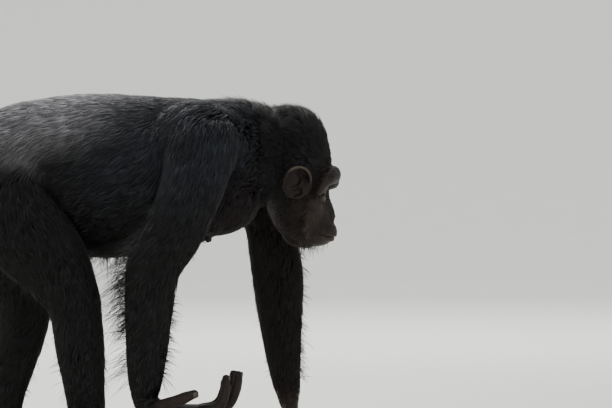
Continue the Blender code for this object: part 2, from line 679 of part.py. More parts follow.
def split_off(thing, name, shape_maker):
    """Moves what lies inside a region into a new object, with a gap round it."""
    piece = copy_of(thing, name)
    collection = thing.users_collection[0]
    inside = object_of("region", mesh_of("region", [shape_maker(0)]), collection)
    boolean(piece, [inside], "INTERSECT")
    outside = object_of("region", mesh_of("region", [shape_maker(GAP)]), collection)
    boolean(thing, [outside], "DIFFERENCE")
    return piece


def keep_largest(thing):
    """Leaves only the closed surface that holds the most."""
    shape = bmesh.new()
    shape.from_mesh(thing.data)
    left = set(shape.verts)
    islands = []
    while left:
        seed = left.pop()
        found, edge = {seed}, [seed]
        while edge:
            vertex = edge.pop()
            for link in vertex.link_edges:
                other = link.other_vert(vertex)
                if other not in found:
                    found.add(other)
                    edge.append(other)
        left -= found
        islands.append(found)
    if len(islands) > 1:
        def held(island):
            faces = {face for vertex in island for face in vertex.link_faces}
            total = 0.0
            for face in faces:
                a = face.verts[0].co
                for b, c in zip(face.verts[1:], face.verts[2:]):
                    total += a.dot(b.co.cross(c.co))
            return total

        keep = max(islands, key=held)
        bmesh.ops.delete(shape, geom=[v for v in shape.verts if v not in keep], context="VERTS")
    bmesh.ops.triangulate(shape, faces=shape.faces)
    shape.to_mesh(thing.data)
    shape.free()
    thing.data.update()


def end_block(pivot, reach, room, pitch):
    """A block below a sloping plane through the pivot, from reach[0] behind it to reach[1] in front."""
    def block(gap):
        shape = bmesh.new()
        length = reach[1] - reach[0]
        wide, tall = room
        place = Matrix.Translation(pivot) @ Matrix.Rotation(-pitch, 4, "Y")
        place @= Matrix.Translation(((reach[0] + reach[1]) / 2, 0, gap - tall / 2))
        size = Matrix.Diagonal((length + 2 * gap, wide + 2 * gap, tall, 1))
        bmesh.ops.create_cube(shape, size=1, matrix=place @ size)
        return shape
    return block


def limb_room(rows):
    """Room round a limb from inside the trunk to past its wrist or ankle."""
    def room(gap):
        wide = [row[:3] + (row[3] + row[5] * CORE, row[4] + row[5] * CORE) for row in rows]
        return tube(wide, steps=1, sides=14, grow=LIMB_MARGIN + gap, cap=0.9)
    return room


def front_of(point, normal):
    """Everything on one side of a plane."""
    def block(gap):
        way = Vector(normal).normalized()
        shape = bmesh.new()
        middle = Vector(point) + way * (BLOCK / 2 - gap)
        turn = way.to_track_quat("Z", "Y").to_matrix().to_4x4()
        bmesh.ops.create_cube(shape, size=BLOCK, matrix=Matrix.Translation(middle) @ turn)
        return shape
    return block


def ear_room(flip):
    """Room outside the plane where the ear's root leaves the head."""
    def block(gap):
        shape = bmesh.new()
        place = Matrix.Translation((EAR.x, EAR.y * flip, EAR.z))
        place @= Matrix.Rotation(-EAR_FLARE * flip, 4, "Z")
        place @= Matrix.Translation((0, flip * (0.05 - EAR_ROOT - gap), 0))
        bmesh.ops.create_cube(shape, size=0.1, matrix=place @ Matrix.Diagonal((0.95, 1, 0.95, 1)))
        return shape
    return block


def joint_cut(rows, place):
    """Everything past a limb's joint, counted along its sections."""
    fine = eased([row[:3] for row in rows], 10)
    i = int(round(place * 10))
    return front_of(fine[i], fine[i + 1] - fine[i - 1])


def parted(body):
    """The nodes of the body by name, cut apart where a person would name its parts."""
    nodes = {}
    for name, pivot, reach, room, pitch in END_BLOCKS:
        nodes[name] = split_off(body, name, end_block(pivot, reach, room, pitch))
    limbs = (
        ("right", RIGHT_ARM, ELBOW, "upper_arm", "forearm"),
        ("left", LEFT_ARM, ELBOW, "upper_arm", "forearm"),
        ("right", RIGHT_LEG[1:], KNEE - 1, "thigh", "shin"),
        ("left", LEFT_LEG[1:], KNEE - 1, "thigh", "shin"),
    )
    for side, rows, joint, upper, lower in limbs:
        limb = split_off(body, upper + "_" + side, limb_room(rows))
        nodes[lower + "_" + side] = split_off(limb, lower + "_" + side, joint_cut(rows, joint))
        nodes[upper + "_" + side] = limb
    for side, flip in (("left", 1), ("right", -1)):
        nodes["ear_" + side] = split_off(body, "ear_" + side, ear_room(flip))
    for name, point, normal in TRUNK_PLANES:
        nodes[name] = split_off(body, name, front_of(point, normal))
    body.name = "rump"
    nodes["rump"] = body
    return nodes


def carve_face(head, collection):
    """Cuts the line of the mouth and the nostrils into the head."""
    line = mouth_line(0, 0.0004)
    radii = [MOUTH_RADIUS * (1.05 - abs(share) ** 3) for share in np.linspace(-1, 1, len(line))]
    groove = tube([point + (radius, radius) for point, radius in zip(line, radii)],
                  side=(0, 0, 1), steps=1, sides=4)
    boolean(head, [object_of("mouth", mesh_of("mouth", [groove]), collection)], "DIFFERENCE")
    face = BVHTree.FromObject(head, bpy.context.evaluated_depsgraph_get())
    y, z, wide, tall = NOSTRIL
    for flip in (1, -1):
        hit = face.ray_cast(Vector((0.5, y * flip, z)), Vector((-1, 0, 0)))[0]
        hole = bmesh.new()
        turn = Matrix.Rotation(flip * math.radians(28), 4, "X")
        bmesh.ops.create_icosphere(
            hole, subdivisions=2, radius=1,
            matrix=Matrix.Translation(hit) @ turn @ Matrix.Diagonal((0.0055, wide, tall, 1)),
        )
        boolean(head, [object_of("nostril", mesh_of("nostril", [hole]), collection)], "DIFFERENCE")


def eyes(head, collection):
    """Opens the lids over each eye and sets the eyeball behind them."""
    made = {}
    for side, flip in (("left", 1), ("right", -1)):
        place = Vector((EYE.x, EYE.y * flip, EYE.z))
        socket, opening, ball = bmesh.new(), bmesh.new(), bmesh.new()
        at = Matrix.Translation(place)
        turn = Matrix.Rotation(flip * EYE_TURN, 4, "Z")
        bmesh.ops.create_icosphere(socket, subdivisions=2, radius=EYEBALL + 0.0004, matrix=at)
        bmesh.ops.create_icosphere(ball, subdivisions=2, radius=EYEBALL, matrix=at)
        slit = at @ turn @ Matrix.Translation((0.0125, 0, 0)) @ Matrix.Diagonal(EYE_OPENING + (1,))
        bmesh.ops.create_icosphere(opening, subdivisions=2, radius=1, matrix=slit)
        for name, shape in (("socket", socket), ("opening", opening)):
            boolean(head, [object_of(name, mesh_of(name, [shape]), collection)], "DIFFERENCE")
        made["eye_" + side] = object_of("eye_" + side, mesh_of("eye_" + side, [ball]), collection)
    return made


def lie_at(point, normal, kind):
    """Which way the coat lies at a place on the body."""
    x, y, z = point
    if kind == "head":
        way = Vector((-1, 0, 0.55 if z > 0.655 else -0.25))
    elif kind == "neck":
        way = Vector((-1, 0, 0.10 - 0.5 * abs(normal.y)))
    else:
        aft = min(1, max(0, (-0.26 - x) / 0.14))
        way = Vector((-1, 0, -0.55 * abs(normal.y) - 1.1 * aft))
        if x > 0.17 and normal.z < 0.3:
            way = Vector((-0.5, 0, -1))
    return way


def blade(centres, ups, width, thick, grow=0.0):
    """A flat tapered lock through the centres, its flat side facing along the ups."""
    along = [(b - a).normalized() for a, b in zip(centres, centres[1:])]
    along.append(along[-1])
    shape = bmesh.new()
    rings = []
    for centre, way, up, wide, deep in zip(centres, along, ups, LOCK_WIDTHS, LOCK_THICKNESSES):
        across = way.cross(up).normalized()
        up = across.cross(way).normalized()
        half, tall = width / 2 * wide + grow, thick / 2 * deep + grow
        if not rings:
            centre = centre - way * grow
        corners = (centre + across * half, centre + up * tall, centre - across * half, centre - up * tall)
        rings.append([shape.verts.new(corner) for corner in corners])
    tip = shape.verts.new(centres[-1] + along[-1] * grow)
    for low, high in zip(rings, rings[1:]):
        for i in range(4):
            shape.faces.new((low[i], low[i - 1], high[i - 1], high[i]))
    for i in range(4):
        shape.faces.new((rings[-1][i], rings[-1][i - 1], tip))
    shape.faces.new(rings[0])
    bmesh.ops.recalc_face_normals(shape, faces=shape.faces)
    bmesh.ops.triangulate(shape, faces=shape.faces, quad_method="SHORT_EDGE")
    return shape


def lock_path(surface, root, lie, length, reach, stray):
    """Centres and ups of a lock that follows the body's surface from its root."""
    place, up = surface.find_nearest(root)[:2]
    centres, ups = [], []
    done = 0.0
    for station, height in zip(LOCK_STATIONS, LOCK_HEIGHTS):
        move = (station - done) * length
        done = station
        way = lie(place, up)
        way = (way - up * way.dot(up)).normalized()
        way = Matrix.Rotation(stray * (1 - station * 0.6), 3, up) @ way
        if move:
            place, facing = surface.find_nearest(place + way * move)[:2]
            up = (up + facing).normalized()
        centres.append(place + up * height * reach)
        ups.append(up.copy())
    return centres, ups


class Coat:
    """Grows locks on the nodes, each kept clear of every other node and its locks."""

    def __init__(self, nodes, surface, collection):
        self.nodes, self.surface, self.collection = nodes, surface, collection
        graph = bpy.context.evaluated_depsgraph_get()
        self.cores = {name: BVHTree.FromObject(node, graph) for name, node in nodes.items()}
        self.locks = {name: [] for name in nodes}
        self.grown = {name: [] for name in nodes}

    def clear(self, name, shape):
        tree = BVHTree.FromBMesh(shape)
        if min(vertex.co.z for vertex in shape.verts) < LOCK_LOWEST:
            return False
        for other, core in self.cores.items():
            if other != name and tree.overlap(core):
                return False
        for other, locks in self.grown.items():
            if other != name and any(tree.overlap(lock) for lock in locks):
                return False
        return bool(tree.overlap(self.cores[name]))

    def add(self, name, centres, ups, width, thick):
        wider = blade(centres, ups, width, thick, LOCK_CLEAR)
        fits = self.clear(name, wider)
        if fits:
            shape = blade(centres, ups, width, thick)
            self.grown[name].append(BVHTree.FromBMesh(wider))
            self.locks[name].append(object_of("lock", mesh_of("lock", [shape]), self.collection))
        wider.free()
        return fits

    def lock(self, name, root, lie, length, width, reach, stray):
        """Tries a lock as asked, then shorter, narrower or raised where it would touch another node."""
        for shorter, narrower, higher in LOCK_TRIES:
            centres, ups = lock_path(self.surface, root, lie, length * shorter, reach * higher, stray)
            if self.add(name, centres, ups, width * narrower, LOCK_THICK):
                return

    def fringe(self, name, root, way, length, width):
        """A lock that hangs free of the body, bending down."""
        place, up = self.surface.find_nearest(root)[:2]
        across = Vector((0, 1, 0))
        for shorter in (1, 0.8, 0.6):
            centres, ups = [place - up * LOCK_SINK], [way.cross(across)]
            done = 0.0
            for station in LOCK_STATIONS[1:]:
                step = (station - done) * length * shorter
                done = station
                bent = (up * (0.8 - station) + way).normalized()
                centres.append(centres[-1] + bent * (step + (LOCK_SINK if len(centres) == 1 else 0)))
                ups.append(bent.cross(across))
            if self.add(name, centres, ups, width, LOCK_THICK):
                return

    def fuse(self):
        for name, locks in self.locks.items():
            if locks:
                boolean(self.nodes[name], locks, "UNION")


def grow_coat(nodes, surface, collection):
    """The locks of every coated node, in rings along the body and limbs."""
    chance = np.random.default_rng(LOCK_SEED)
    coat = Coat(nodes, surface, collection)
    for rows, kind in ((TRUNK_LOCKS, "trunk"), (NECK_LOCKS, "head")):
        for name, x, first, last, count, length, width, reach in rows:
            for angle in np.linspace(first, last, count) + chance.uniform(-4, 4, count):
                turn = math.radians(angle)
                middle = NECK_MIDDLE if kind == "head" else float(np.interp(
                    x, [row[0] for row in TRUNK], [(row[1] + row[2]) / 2 for row in TRUNK]))
                start = Vector((x + chance.uniform(-0.012, 0.012), 0, middle))
                out = Vector((0, math.cos(turn), math.sin(turn)))
                hit = coat.cores[name].ray_cast(start + out, -out)
                spread = chance.uniform(-LOCK_SPREAD, LOCK_SPREAD)
                longer = chance.uniform(0.85, 1.15)
                if hit[0] is None:
                    continue
                form = name if name in ("head", "neck") else "trunk"
                coat.lock(name, hit[0], lambda place, up: lie_at(place, up, form),
                          length * longer, width, reach, spread)
    limb_rings = [("right", RIGHT_ARM, ring) for ring in ARM_RINGS]
    limb_rings += [("left", LEFT_ARM, ring) for ring in ARM_RINGS]
    limb_rings += [("right", RIGHT_LEG, ring) for ring in LEG_RINGS]
    limb_rings += [("left", LEFT_LEG, ring) for ring in LEG_RINGS]
    for side_name, sections, (part, place, first, count, length, width, reach) in limb_rings:
        name = part + "_" + side_name
        fine = eased([row[:3] for row in sections], 10)
        i = int(round(place * 10))
        start, way = Vector(fine[i]), Vector(fine[i + 1] - fine[i - 1]).normalized()
        side = way.cross(Vector((0, 1, 0))).normalized()
        other = way.cross(side)
        for k in range(count):
            turn = math.radians(first + 360 * k / count + chance.uniform(-8, 8))
            out = side * math.cos(turn) + other * math.sin(turn)
            hit = coat.cores[name].ray_cast(start + out * 0.3, -out)
            spread = chance.uniform(-LOCK_SPREAD, LOCK_SPREAD)
            longer = chance.uniform(0.85, 1.15)
            if hit[0] is None:
                continue
            coat.lock(name, hit[0], lambda point, up: way, length * longer, width, reach, spread)
    for name, first, last, way, count, length, width in FRINGES:
        for share in np.linspace(0, 1, count):
            root = Vector(first).lerp(Vector(last), share)
            root.y += chance.uniform(-0.012, 0.012)
            coat.fringe(name, root, Vector(way).normalized(), length * chance.uniform(0.8, 1.15), width)
    coat.fuse()


def settled(nodes):
    """Moves every node so that the floor's point under the middle of the whole is the origin."""
    points = np.vstack([points_of(node.data) for node in nodes.values()])
    low, high = points.min(axis=0), points.max(axis=0)
    shift = Matrix.Translation((-(low[0] + high[0]) / 2, -(low[1] + high[1]) / 2, 0))
    for node in nodes.values():
        node.data.transform(shift)


def finish_of(name):
    """Colour and roughness for a node, by what covers it."""
    kind = name.split("_")[0]
    if kind == "eye":
        return EYE_BROWN, 0.1
    if kind in ("hand", "foot", "ear"):
        return SKIN_DARK, 0.6
    return (COAT_GREY if kind == "rump" else COAT_BLACK), 0.7


def main():
    for thing in list(bpy.data.objects):
        bpy.data.objects.remove(thing)
    parts = bpy.data.collections.new("chimpanzee")
    bpy.context.scene.collection.children.link(parts)
    body = fused_body(parts, BODY_TRIANGLES)
    surface = BVHTree.FromObject(body, bpy.context.evaluated_depsgraph_get())
    nodes = parted(body)
    grow_coat(nodes, surface, parts)
    carve_face(nodes["head"], parts)
    nodes.update(eyes(nodes["head"], parts))
    for name, node in nodes.items():
        keep_largest(node)
        node.name = node.data.name = name
        colour, roughness = finish_of(name)
        node.data.materials.clear()
        node.data.materials.append(material(name, colour, roughness))
        node.data.shade_smooth()
    settled(nodes)


main()
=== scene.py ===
"""Looks of the chimpanzee: one skin, its coat in tufts, eyes, nails, a pale floor, soft light and the camera.

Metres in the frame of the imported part. The body's own sizes are those of the part's source.
"""

import math

import bmesh
import bpy
import numpy as np
from mathutils import Matrix, Vector
from mathutils.bvhtree import BVHTree
from mathutils.kdtree import KDTree

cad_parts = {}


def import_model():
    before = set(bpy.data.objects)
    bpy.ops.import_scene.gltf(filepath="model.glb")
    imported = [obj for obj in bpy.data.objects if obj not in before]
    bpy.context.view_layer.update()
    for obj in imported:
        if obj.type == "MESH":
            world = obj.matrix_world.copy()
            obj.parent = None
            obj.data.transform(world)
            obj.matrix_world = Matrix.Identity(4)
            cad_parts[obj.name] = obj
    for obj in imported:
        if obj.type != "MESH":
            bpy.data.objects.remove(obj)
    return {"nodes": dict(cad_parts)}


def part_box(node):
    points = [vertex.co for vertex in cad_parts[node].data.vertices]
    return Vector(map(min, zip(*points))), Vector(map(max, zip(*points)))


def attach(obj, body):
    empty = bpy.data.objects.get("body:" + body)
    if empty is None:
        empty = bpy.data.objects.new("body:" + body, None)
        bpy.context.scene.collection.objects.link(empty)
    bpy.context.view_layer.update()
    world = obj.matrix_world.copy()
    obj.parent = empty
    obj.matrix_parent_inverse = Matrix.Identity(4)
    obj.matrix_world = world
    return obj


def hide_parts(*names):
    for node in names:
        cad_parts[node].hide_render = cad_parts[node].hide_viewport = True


# How fine the skin and the coat are
SKIN_GRAIN = 0.0023
SKIN_TRIANGLES = 230_000
TUFTS = 225_000
TUFT_WIDER = 1.0
FACES_A_PIECE = 190_000
PATCH = 0.003  # of each tuft on the flat map of the skin
SIDE_LIMITS = (-0.274, 0.231)  # no hair reaches further out to the sides

# The body, as in the part's source
EYE = Vector((0.3930, 0.0275, 0.5615))
EYEBALL = 0.0105
EYE_TURN = math.radians(14)
EYE_OPENING = (0.0120, 0.0118, 0.0062)
EAR = Vector((0.3440, 0.0830, 0.5945))
EAR_LEAN = math.radians(28)
EAR_FLARE = math.radians(20)
EAR_LONG, EAR_SHORT, EAR_THICK, EAR_CUP = 0.0365, 0.0315, 0.0034, 0.0105
EAR_RIM, EAR_RIM_LIFT = 0.0040, 0.0026
EAR_RIM_SWEEP = (-60, 215)
EAR_STALK = (0.357, 0.066, 0.592, 0.014, 0.014, 0.019)
TRUNK_COAT = 0.022
TRUNK = (
    (-0.432, 0.560, 0.618, 0.034),
    (-0.415, 0.527, 0.655, 0.076),
    (-0.375, 0.502, 0.700, 0.112),
    (-0.320, 0.486, 0.733, 0.134),
    (-0.255, 0.470, 0.760, 0.144),
    (-0.180, 0.450, 0.775, 0.148),
    (-0.100, 0.437, 0.783, 0.152),
    (-0.020, 0.436, 0.782, 0.159),
    (0.060, 0.446, 0.777, 0.166),
    (0.130, 0.462, 0.773, 0.168),
    (0.190, 0.492, 0.769, 0.156),
    (0.235, 0.516, 0.761, 0.128),
    (0.262, 0.548, 0.745, 0.092),
)
NECK = (
    (0.150, 0, 0.655, 0.100, 0.090, 0.020),
    (0.220, 0, 0.648, 0.090, 0.092, 0.022),
    (0.275, 0, 0.640, 0.074, 0.090, 0.026),
    (0.318, 0, 0.628, 0.054, 0.076, 0.024),
)
RIGHT_ARM = (
    (0.150, -0.122, 0.706, 0.042, 0.052, 0.016),
    (0.150, -0.138, 0.664, 0.052, 0.060, 0.018),
    (0.138, -0.158, 0.603, 0.047, 0.054, 0.018),
    (0.116, -0.170, 0.543, 0.041, 0.048, 0.018),
    (0.084, -0.182, 0.475, 0.037, 0.044, 0.018),
    (0.053, -0.188, 0.425, 0.036, 0.040, 0.016),
    (0.046, -0.192, 0.362, 0.037, 0.038, 0.014),
    (0.042, -0.195, 0.290, 0.033, 0.034, 0.012),
    (0.038, -0.197, 0.222, 0.028, 0.029, 0.010),
    (0.036, -0.198, 0.170, 0.027, 0.023, 0.006),
    (0.036, -0.198, 0.150, 0.027, 0.020, 0.003),
)
LEFT_ARM = (
    (0.196, 0.124, 0.706, 0.042, 0.052, 0.016),
    (0.208, 0.138, 0.664, 0.052, 0.060, 0.018),
    (0.244, 0.150, 0.595, 0.046, 0.054, 0.018),
    (0.284, 0.155, 0.520, 0.040, 0.046, 0.018),
    (0.297, 0.152, 0.450, 0.038, 0.042, 0.018),
    (0.305, 0.148, 0.390, 0.036, 0.042, 0.017),
    (0.309, 0.142, 0.325, 0.036, 0.038, 0.014),
    (0.313, 0.134, 0.255, 0.032, 0.032, 0.012),
    (0.319, 0.127, 0.190, 0.028, 0.026, 0.009),
    (0.325, 0.122, 0.145, 0.029, 0.022, 0.005),
    (0.327, 0.120, 0.122, 0.029, 0.019, 0.002),
)
RIGHT_LEG = (
    (-0.285, -0.060, 0.615, 0.062, 0.095, 0.018),
    (-0.258, -0.085, 0.560, 0.058, 0.094, 0.018),
    (-0.210, -0.104, 0.490, 0.051, 0.080, 0.018),
    (-0.155, -0.118, 0.420, 0.045, 0.062, 0.016),
    (-0.116, -0.126, 0.355, 0.040, 0.044, 0.014),
    (-0.106, -0.128, 0.295, 0.037, 0.040, 0.014),
    (-0.098, -0.125, 0.225, 0.033, 0.037, 0.012),
    (-0.090, -0.118, 0.145, 0.025, 0.030, 0.010),
    (-0.086, -0.113, 0.090, 0.025, 0.031, 0.006),
    (-0.084, -0.112, 0.050, 0.026, 0.033, 0.002),
)
LEFT_LEG = (
    (-0.292, 0.060, 0.615, 0.062, 0.095, 0.018),
    (-0.285, 0.085, 0.560, 0.058, 0.092, 0.018),
    (-0.270, 0.104, 0.480, 0.051, 0.078, 0.018),
    (-0.254, 0.118, 0.400, 0.045, 0.060, 0.016),
    (-0.240, 0.126, 0.325, 0.040, 0.045, 0.014),
    (-0.250, 0.124, 0.262, 0.037, 0.040, 0.014),
    (-0.268, 0.116, 0.195, 0.032, 0.035, 0.012),
    (-0.280, 0.108, 0.130, 0.025, 0.029, 0.010),
    (-0.284, 0.103, 0.088, 0.025, 0.029, 0.006),
    (-0.284, 0.102, 0.050, 0.026, 0.031, 0.002),
)
RIGHT_PALM = (
    (0.030, -0.198, 0.148, 0.026, 0.018),
    (0.054, -0.198, 0.137, 0.033, 0.017),
    (0.088, -0.199, 0.131, 0.040, 0.015),
    (0.126, -0.199, 0.130, 0.043, 0.0140),
    (0.158, -0.198, 0.132, 0.041, 0.0120),
)
LEFT_PALM = (
    (0.326, 0.120, 0.138, 0.029, 0.018),
    (0.330, 0.120, 0.112, 0.034, 0.0165),
    (0.338, 0.120, 0.082, 0.041, 0.0145),
    (0.347, 0.120, 0.056, 0.042, 0.0125),
)
RIGHT_FINGERS = (
    ((0.150, -0.231, 0.132, 0.0118), (0.187, -0.237, 0.141, 0.0110),
     (0.201, -0.238, 0.173, 0.0100), (0.202, -0.237, 0.199, 0.0084)),
    ((0.154, -0.208, 0.131, 0.0122), (0.203, -0.212, 0.142, 0.0114),
     (0.222, -0.212, 0.177, 0.0104), (0.227, -0.211, 0.205, 0.0088)),
    ((0.152, -0.185, 0.131, 0.0120), (0.198, -0.187, 0.143, 0.0112),
     (0.215, -0.187, 0.178, 0.0102), (0.216, -0.186, 0.205, 0.0086)),
    ((0.146, -0.164, 0.132, 0.0108), (0.180, -0.162, 0.141, 0.0098),
     (0.194, -0.162, 0.166, 0.0090), (0.196, -0.162, 0.187, 0.0078)),
    ((0.058, -0.222, 0.136, 0.0165), (0.090, -0.244, 0.148, 0.0134),
     (0.119, -0.250, 0.160, 0.0116), (0.139, -0.249, 0.168, 0.0092)),
)
LEFT_FINGERS = (
    ((0.345, 0.086, 0.058, 0.0110), (0.365, 0.081, 0.013, 0.0098),
     (0.333, 0.083, 0.0085, 0.0090), (0.319, 0.085, 0.022, 0.0078)),
    ((0.347, 0.109, 0.058, 0.0115), (0.372, 0.107, 0.013, 0.0102),
     (0.335, 0.107, 0.0085, 0.0094), (0.319, 0.108, 0.023, 0.0080)),
    ((0.347, 0.131, 0.058, 0.0112), (0.369, 0.132, 0.013, 0.0100),
     (0.335, 0.132, 0.0085, 0.0092), (0.320, 0.131, 0.022, 0.0078)),
    ((0.344, 0.152, 0.058, 0.0102), (0.360, 0.157, 0.012, 0.0090),
     (0.333, 0.156, 0.0080, 0.0084), (0.321, 0.154, 0.020, 0.0070)),
    ((0.327, 0.094, 0.112, 0.0130), (0.339, 0.076, 0.092, 0.0105),
     (0.351, 0.068, 0.074, 0.0088), (0.358, 0.066, 0.060, 0.0070)),
)
FOOT = (
    (-0.046, 0.000, 0.024, 0.019, 0.021),
    (-0.026, 0.000, 0.033, 0.027, 0.034),
    (0.006, 0.001, 0.036, 0.030, 0.036),
    (0.050, 0.003, 0.026, 0.033, 0.027),
    (0.090, 0.006, 0.018, 0.040, 0.019),
    (0.118, 0.008, 0.015, 0.041, 0.015),
)
TOES = (
    ((0.112, -0.022, 0.013, 0.0110), (0.150, -0.028, 0.016, 0.0098),
     (0.174, -0.028, 0.0095, 0.0080)),
    ((0.116, -0.003, 0.013, 0.0108), (0.156, -0.005, 0.017, 0.0098),
     (0.182, -0.005, 0.0095, 0.0080)),
    ((0.114, 0.016, 0.013, 0.0105), (0.150, 0.017, 0.016, 0.0094),
     (0.174, 0.017, 0.0090, 0.0078)),
    ((0.106, 0.034, 0.013, 0.0100), (0.138, 0.037, 0.014, 0.0088),
     (0.158, 0.037, 0.0085, 0.0074)),
    ((0.034, -0.018, 0.019, 0.0175), (0.074, -0.044, 0.017, 0.0140),
     (0.104, -0.056, 0.014, 0.0122), (0.126, -0.058, 0.011, 0.0098)),
)
SKULL = (
    (0.470, 0.385, 0.345, 0.020),
    (0.482, 0.400, 0.322, 0.040),
    (0.505, 0.405, 0.302, 0.053),
    (0.530, 0.406, 0.292, 0.060),
    (0.555, 0.404, 0.284, 0.0635),
    (0.580, 0.408, 0.278, 0.0660),
    (0.605, 0.417, 0.274, 0.0665),
    (0.630, 0.418, 0.273, 0.0650),
    (0.655, 0.409, 0.274, 0.0620),
    (0.680, 0.397, 0.278, 0.0570),
    (0.702, 0.383, 0.286, 0.0490),
    (0.720, 0.364, 0.298, 0.0370),
    (0.731, 0.345, 0.312, 0.0200),
)
SCALP_COAT = 0.020
MUZZLE = (
    (0.4615, 0.392, 0.340, 0.014),
    (0.4650, 0.405, 0.335, 0.025),
    (0.4710, 0.417, 0.330, 0.033),
    (0.4790, 0.4245, 0.330, 0.0385),
    (0.4870, 0.4275, 0.330, 0.0412),
    (0.4945, 0.4285, 0.330, 0.0420),
    (0.5020, 0.4262, 0.330, 0.0415),
    (0.5090, 0.4230, 0.330, 0.0395),
    (0.5180, 0.4195, 0.330, 0.0362),
    (0.5300, 0.4145, 0.330, 0.0320),
    (0.5430, 0.4095, 0.330, 0.0270),
    (0.5560, 0.4040, 0.330, 0.0200),
)
MUZZLE_BLUNT = 0.82
MUZZLE_MIDDLE = 0.372
BROW = (
    (0.3880, 0.0590, 0.5720, 0.0080, 0.0090),
    (0.3990, 0.0540, 0.5910, 0.0110, 0.0130),
    (0.4125, 0.0400, 0.6050, 0.0135, 0.0165),
    (0.4210, 0.0200, 0.6110, 0.0145, 0.0185),
    (0.4220, 0.0000, 0.6110, 0.0145, 0.0195),
)
NOSE = (
    (0.4040, 0.0000, 0.5790, 0.0060, 0.0075),
    (0.4065, 0.0000, 0.5600, 0.0068, 0.0080),
    (0.4125, 0.0000, 0.5400, 0.0085, 0.0090),
    (0.4165, 0.0000, 0.5250, 0.0112, 0.0085),
    (0.4155, 0.0000, 0.5180, 0.0120, 0.0070),
)
FACE_MASSES = (
    (0.4165, 0.0000, 0.5960, 0.0165, 0.0230, 0.0150),
    (0.4135, 0.0115, 0.5195, 0.0085, 0.0078, 0.0075),
    (0.3930, 0.0275, 0.5615, 0.0130, 0.0130, 0.0130),
    (0.3730, 0.0440, 0.5500, 0.0250, 0.0190, 0.0200),
    (0.3500, 0.0360, 0.5050, 0.0330, 0.0190, 0.0300),
)
TRUNK_MASSES = (
    (0.138, 0.106, 0.668, 0.090, 0.050, 0.078),
    (0.175, 0.070, 0.560, 0.080, 0.070, 0.060),
    (-0.300, 0.075, 0.605, 0.100, 0.062, 0.090),
)
NIPPLES = ((0.158, 0.060, 0.492), (0.159, 0.060, 0.473), 0.0062)
MOUTH_HEIGHT, MOUTH_CORNER_RISE, MOUTH_SPREAD = 0.4795, 0.007, math.radians(74)
LIP_RADIUS, LIP_RISE = 0.0040, 0.0052
NOSTRIL = (0.0072, 0.5178, 0.0036, 0.0024)

# Folds inside the ear: points short way, long way and out, then a radius
EAR_FOLDS = (
    (((-0.009, -0.018, -0.006), (0.003, -0.013, -0.004), (0.010, 0.000, -0.002), (0.006, 0.013, -0.001),
      (-0.006, 0.020, -0.001)), 0.0030),
    (((0.019, -0.010, 0.000), (0.018, -0.002, 0.0015), (0.019, 0.006, 0.001)), 0.0034),
)

# Camera, level, from the animal's right
LENS, SENSOR = 168.07, 36.0
CAMERA_FROM = (0.3633, -6.0, 0.5502)  # before the part's shift to its own origin


def eased(rows, steps):
    """Rows of numbers read off a smooth curve through them, with so many steps from each to the next."""
    rows = np.array(rows, float)
    before = np.vstack([2 * rows[0] - rows[1], rows[:-1]])
    after = np.vstack([rows[1:], 2 * rows[-1] - rows[-2]])
    slope = (after - before) / 2
    found = []
    for i in range(len(rows) - 1):
        for t in np.arange(steps) / steps:
            start = (1 + 2 * t) * (1 - t) ** 2 * rows[i] + t * (1 - t) ** 2 * slope[i]
            end = t * t * (3 - 2 * t) * rows[i + 1] - t * t * (1 - t) * slope[i + 1]
            found.append(start + end)
    return np.array(found + [rows[-1]])


def lofted(rings):
    """A closed bmesh through rings of points that all have the same count."""
    shape = bmesh.new()
    rows = [[shape.verts.new(point) for point in ring] for ring in rings]
    for low, high in zip(rows, rows[1:]):
        for i in range(len(low)):
            j = (i + 1) % len(low)
            shape.faces.new((low[i], low[j], high[j], high[i]))
    shape.faces.new(rows[0][::-1])
    shape.faces.new(rows[-1])
    bmesh.ops.recalc_face_normals(shape, faces=shape.faces)
    return shape


def tube(rows, side=(0, 1, 0), steps=5, sides=32, cap=0.7):
    """A round-ended limb. Each row is x, y, z, half width along side, half depth across it."""
    rows = eased([row[:5] for row in rows], steps)
    centres, radii = rows[:, :3], rows[:, 3:5]
    along = np.gradient(centres, axis=0)
    along /= np.linalg.norm(along, axis=1)[:, None]
    turns = np.linspace(0, 2 * math.pi, sides, endpoint=False)
    rings = []

    def ring(i, out, shrink):
        wide = np.array(side) - along[i] * (along[i] @ np.array(side))
        wide /= np.linalg.norm(wide)
        deep = np.cross(along[i], wide)
        centre = centres[i] + along[i] * out
        oval = np.outer(np.cos(turns) * radii[i, 0], wide) + np.outer(np.sin(turns) * radii[i, 1], deep)
        rings.append(centre + oval * shrink)

    for angle in (80, 55, 28):
        turn = math.radians(angle)
        ring(0, -cap * radii[0].min() * math.sin(turn), math.cos(turn))
    for i in range(len(rows)):
        ring(i, 0, 1)
    for angle in (28, 55, 80):
        turn = math.radians(angle)
        ring(-1, cap * radii[-1].min() * math.sin(turn), math.cos(turn))
    return lofted(rings)


def mass(row, flip=1):
    """An egg-shaped mass: centre, then radii along x, y and z."""
    shape = bmesh.new()
    place = Matrix.Translation((row[0], row[1] * flip, row[2]))
    size = Matrix.Diagonal((row[3], row[4], row[5], 1))
    bmesh.ops.create_icosphere(shape, subdivisions=4, radius=1, matrix=place @ size)
    return shape


def paired(rows):
    """Masses with their twins."""
    return [mass(row, flip) for row in rows for flip in ((1, -1) if row[1] else (1,))]


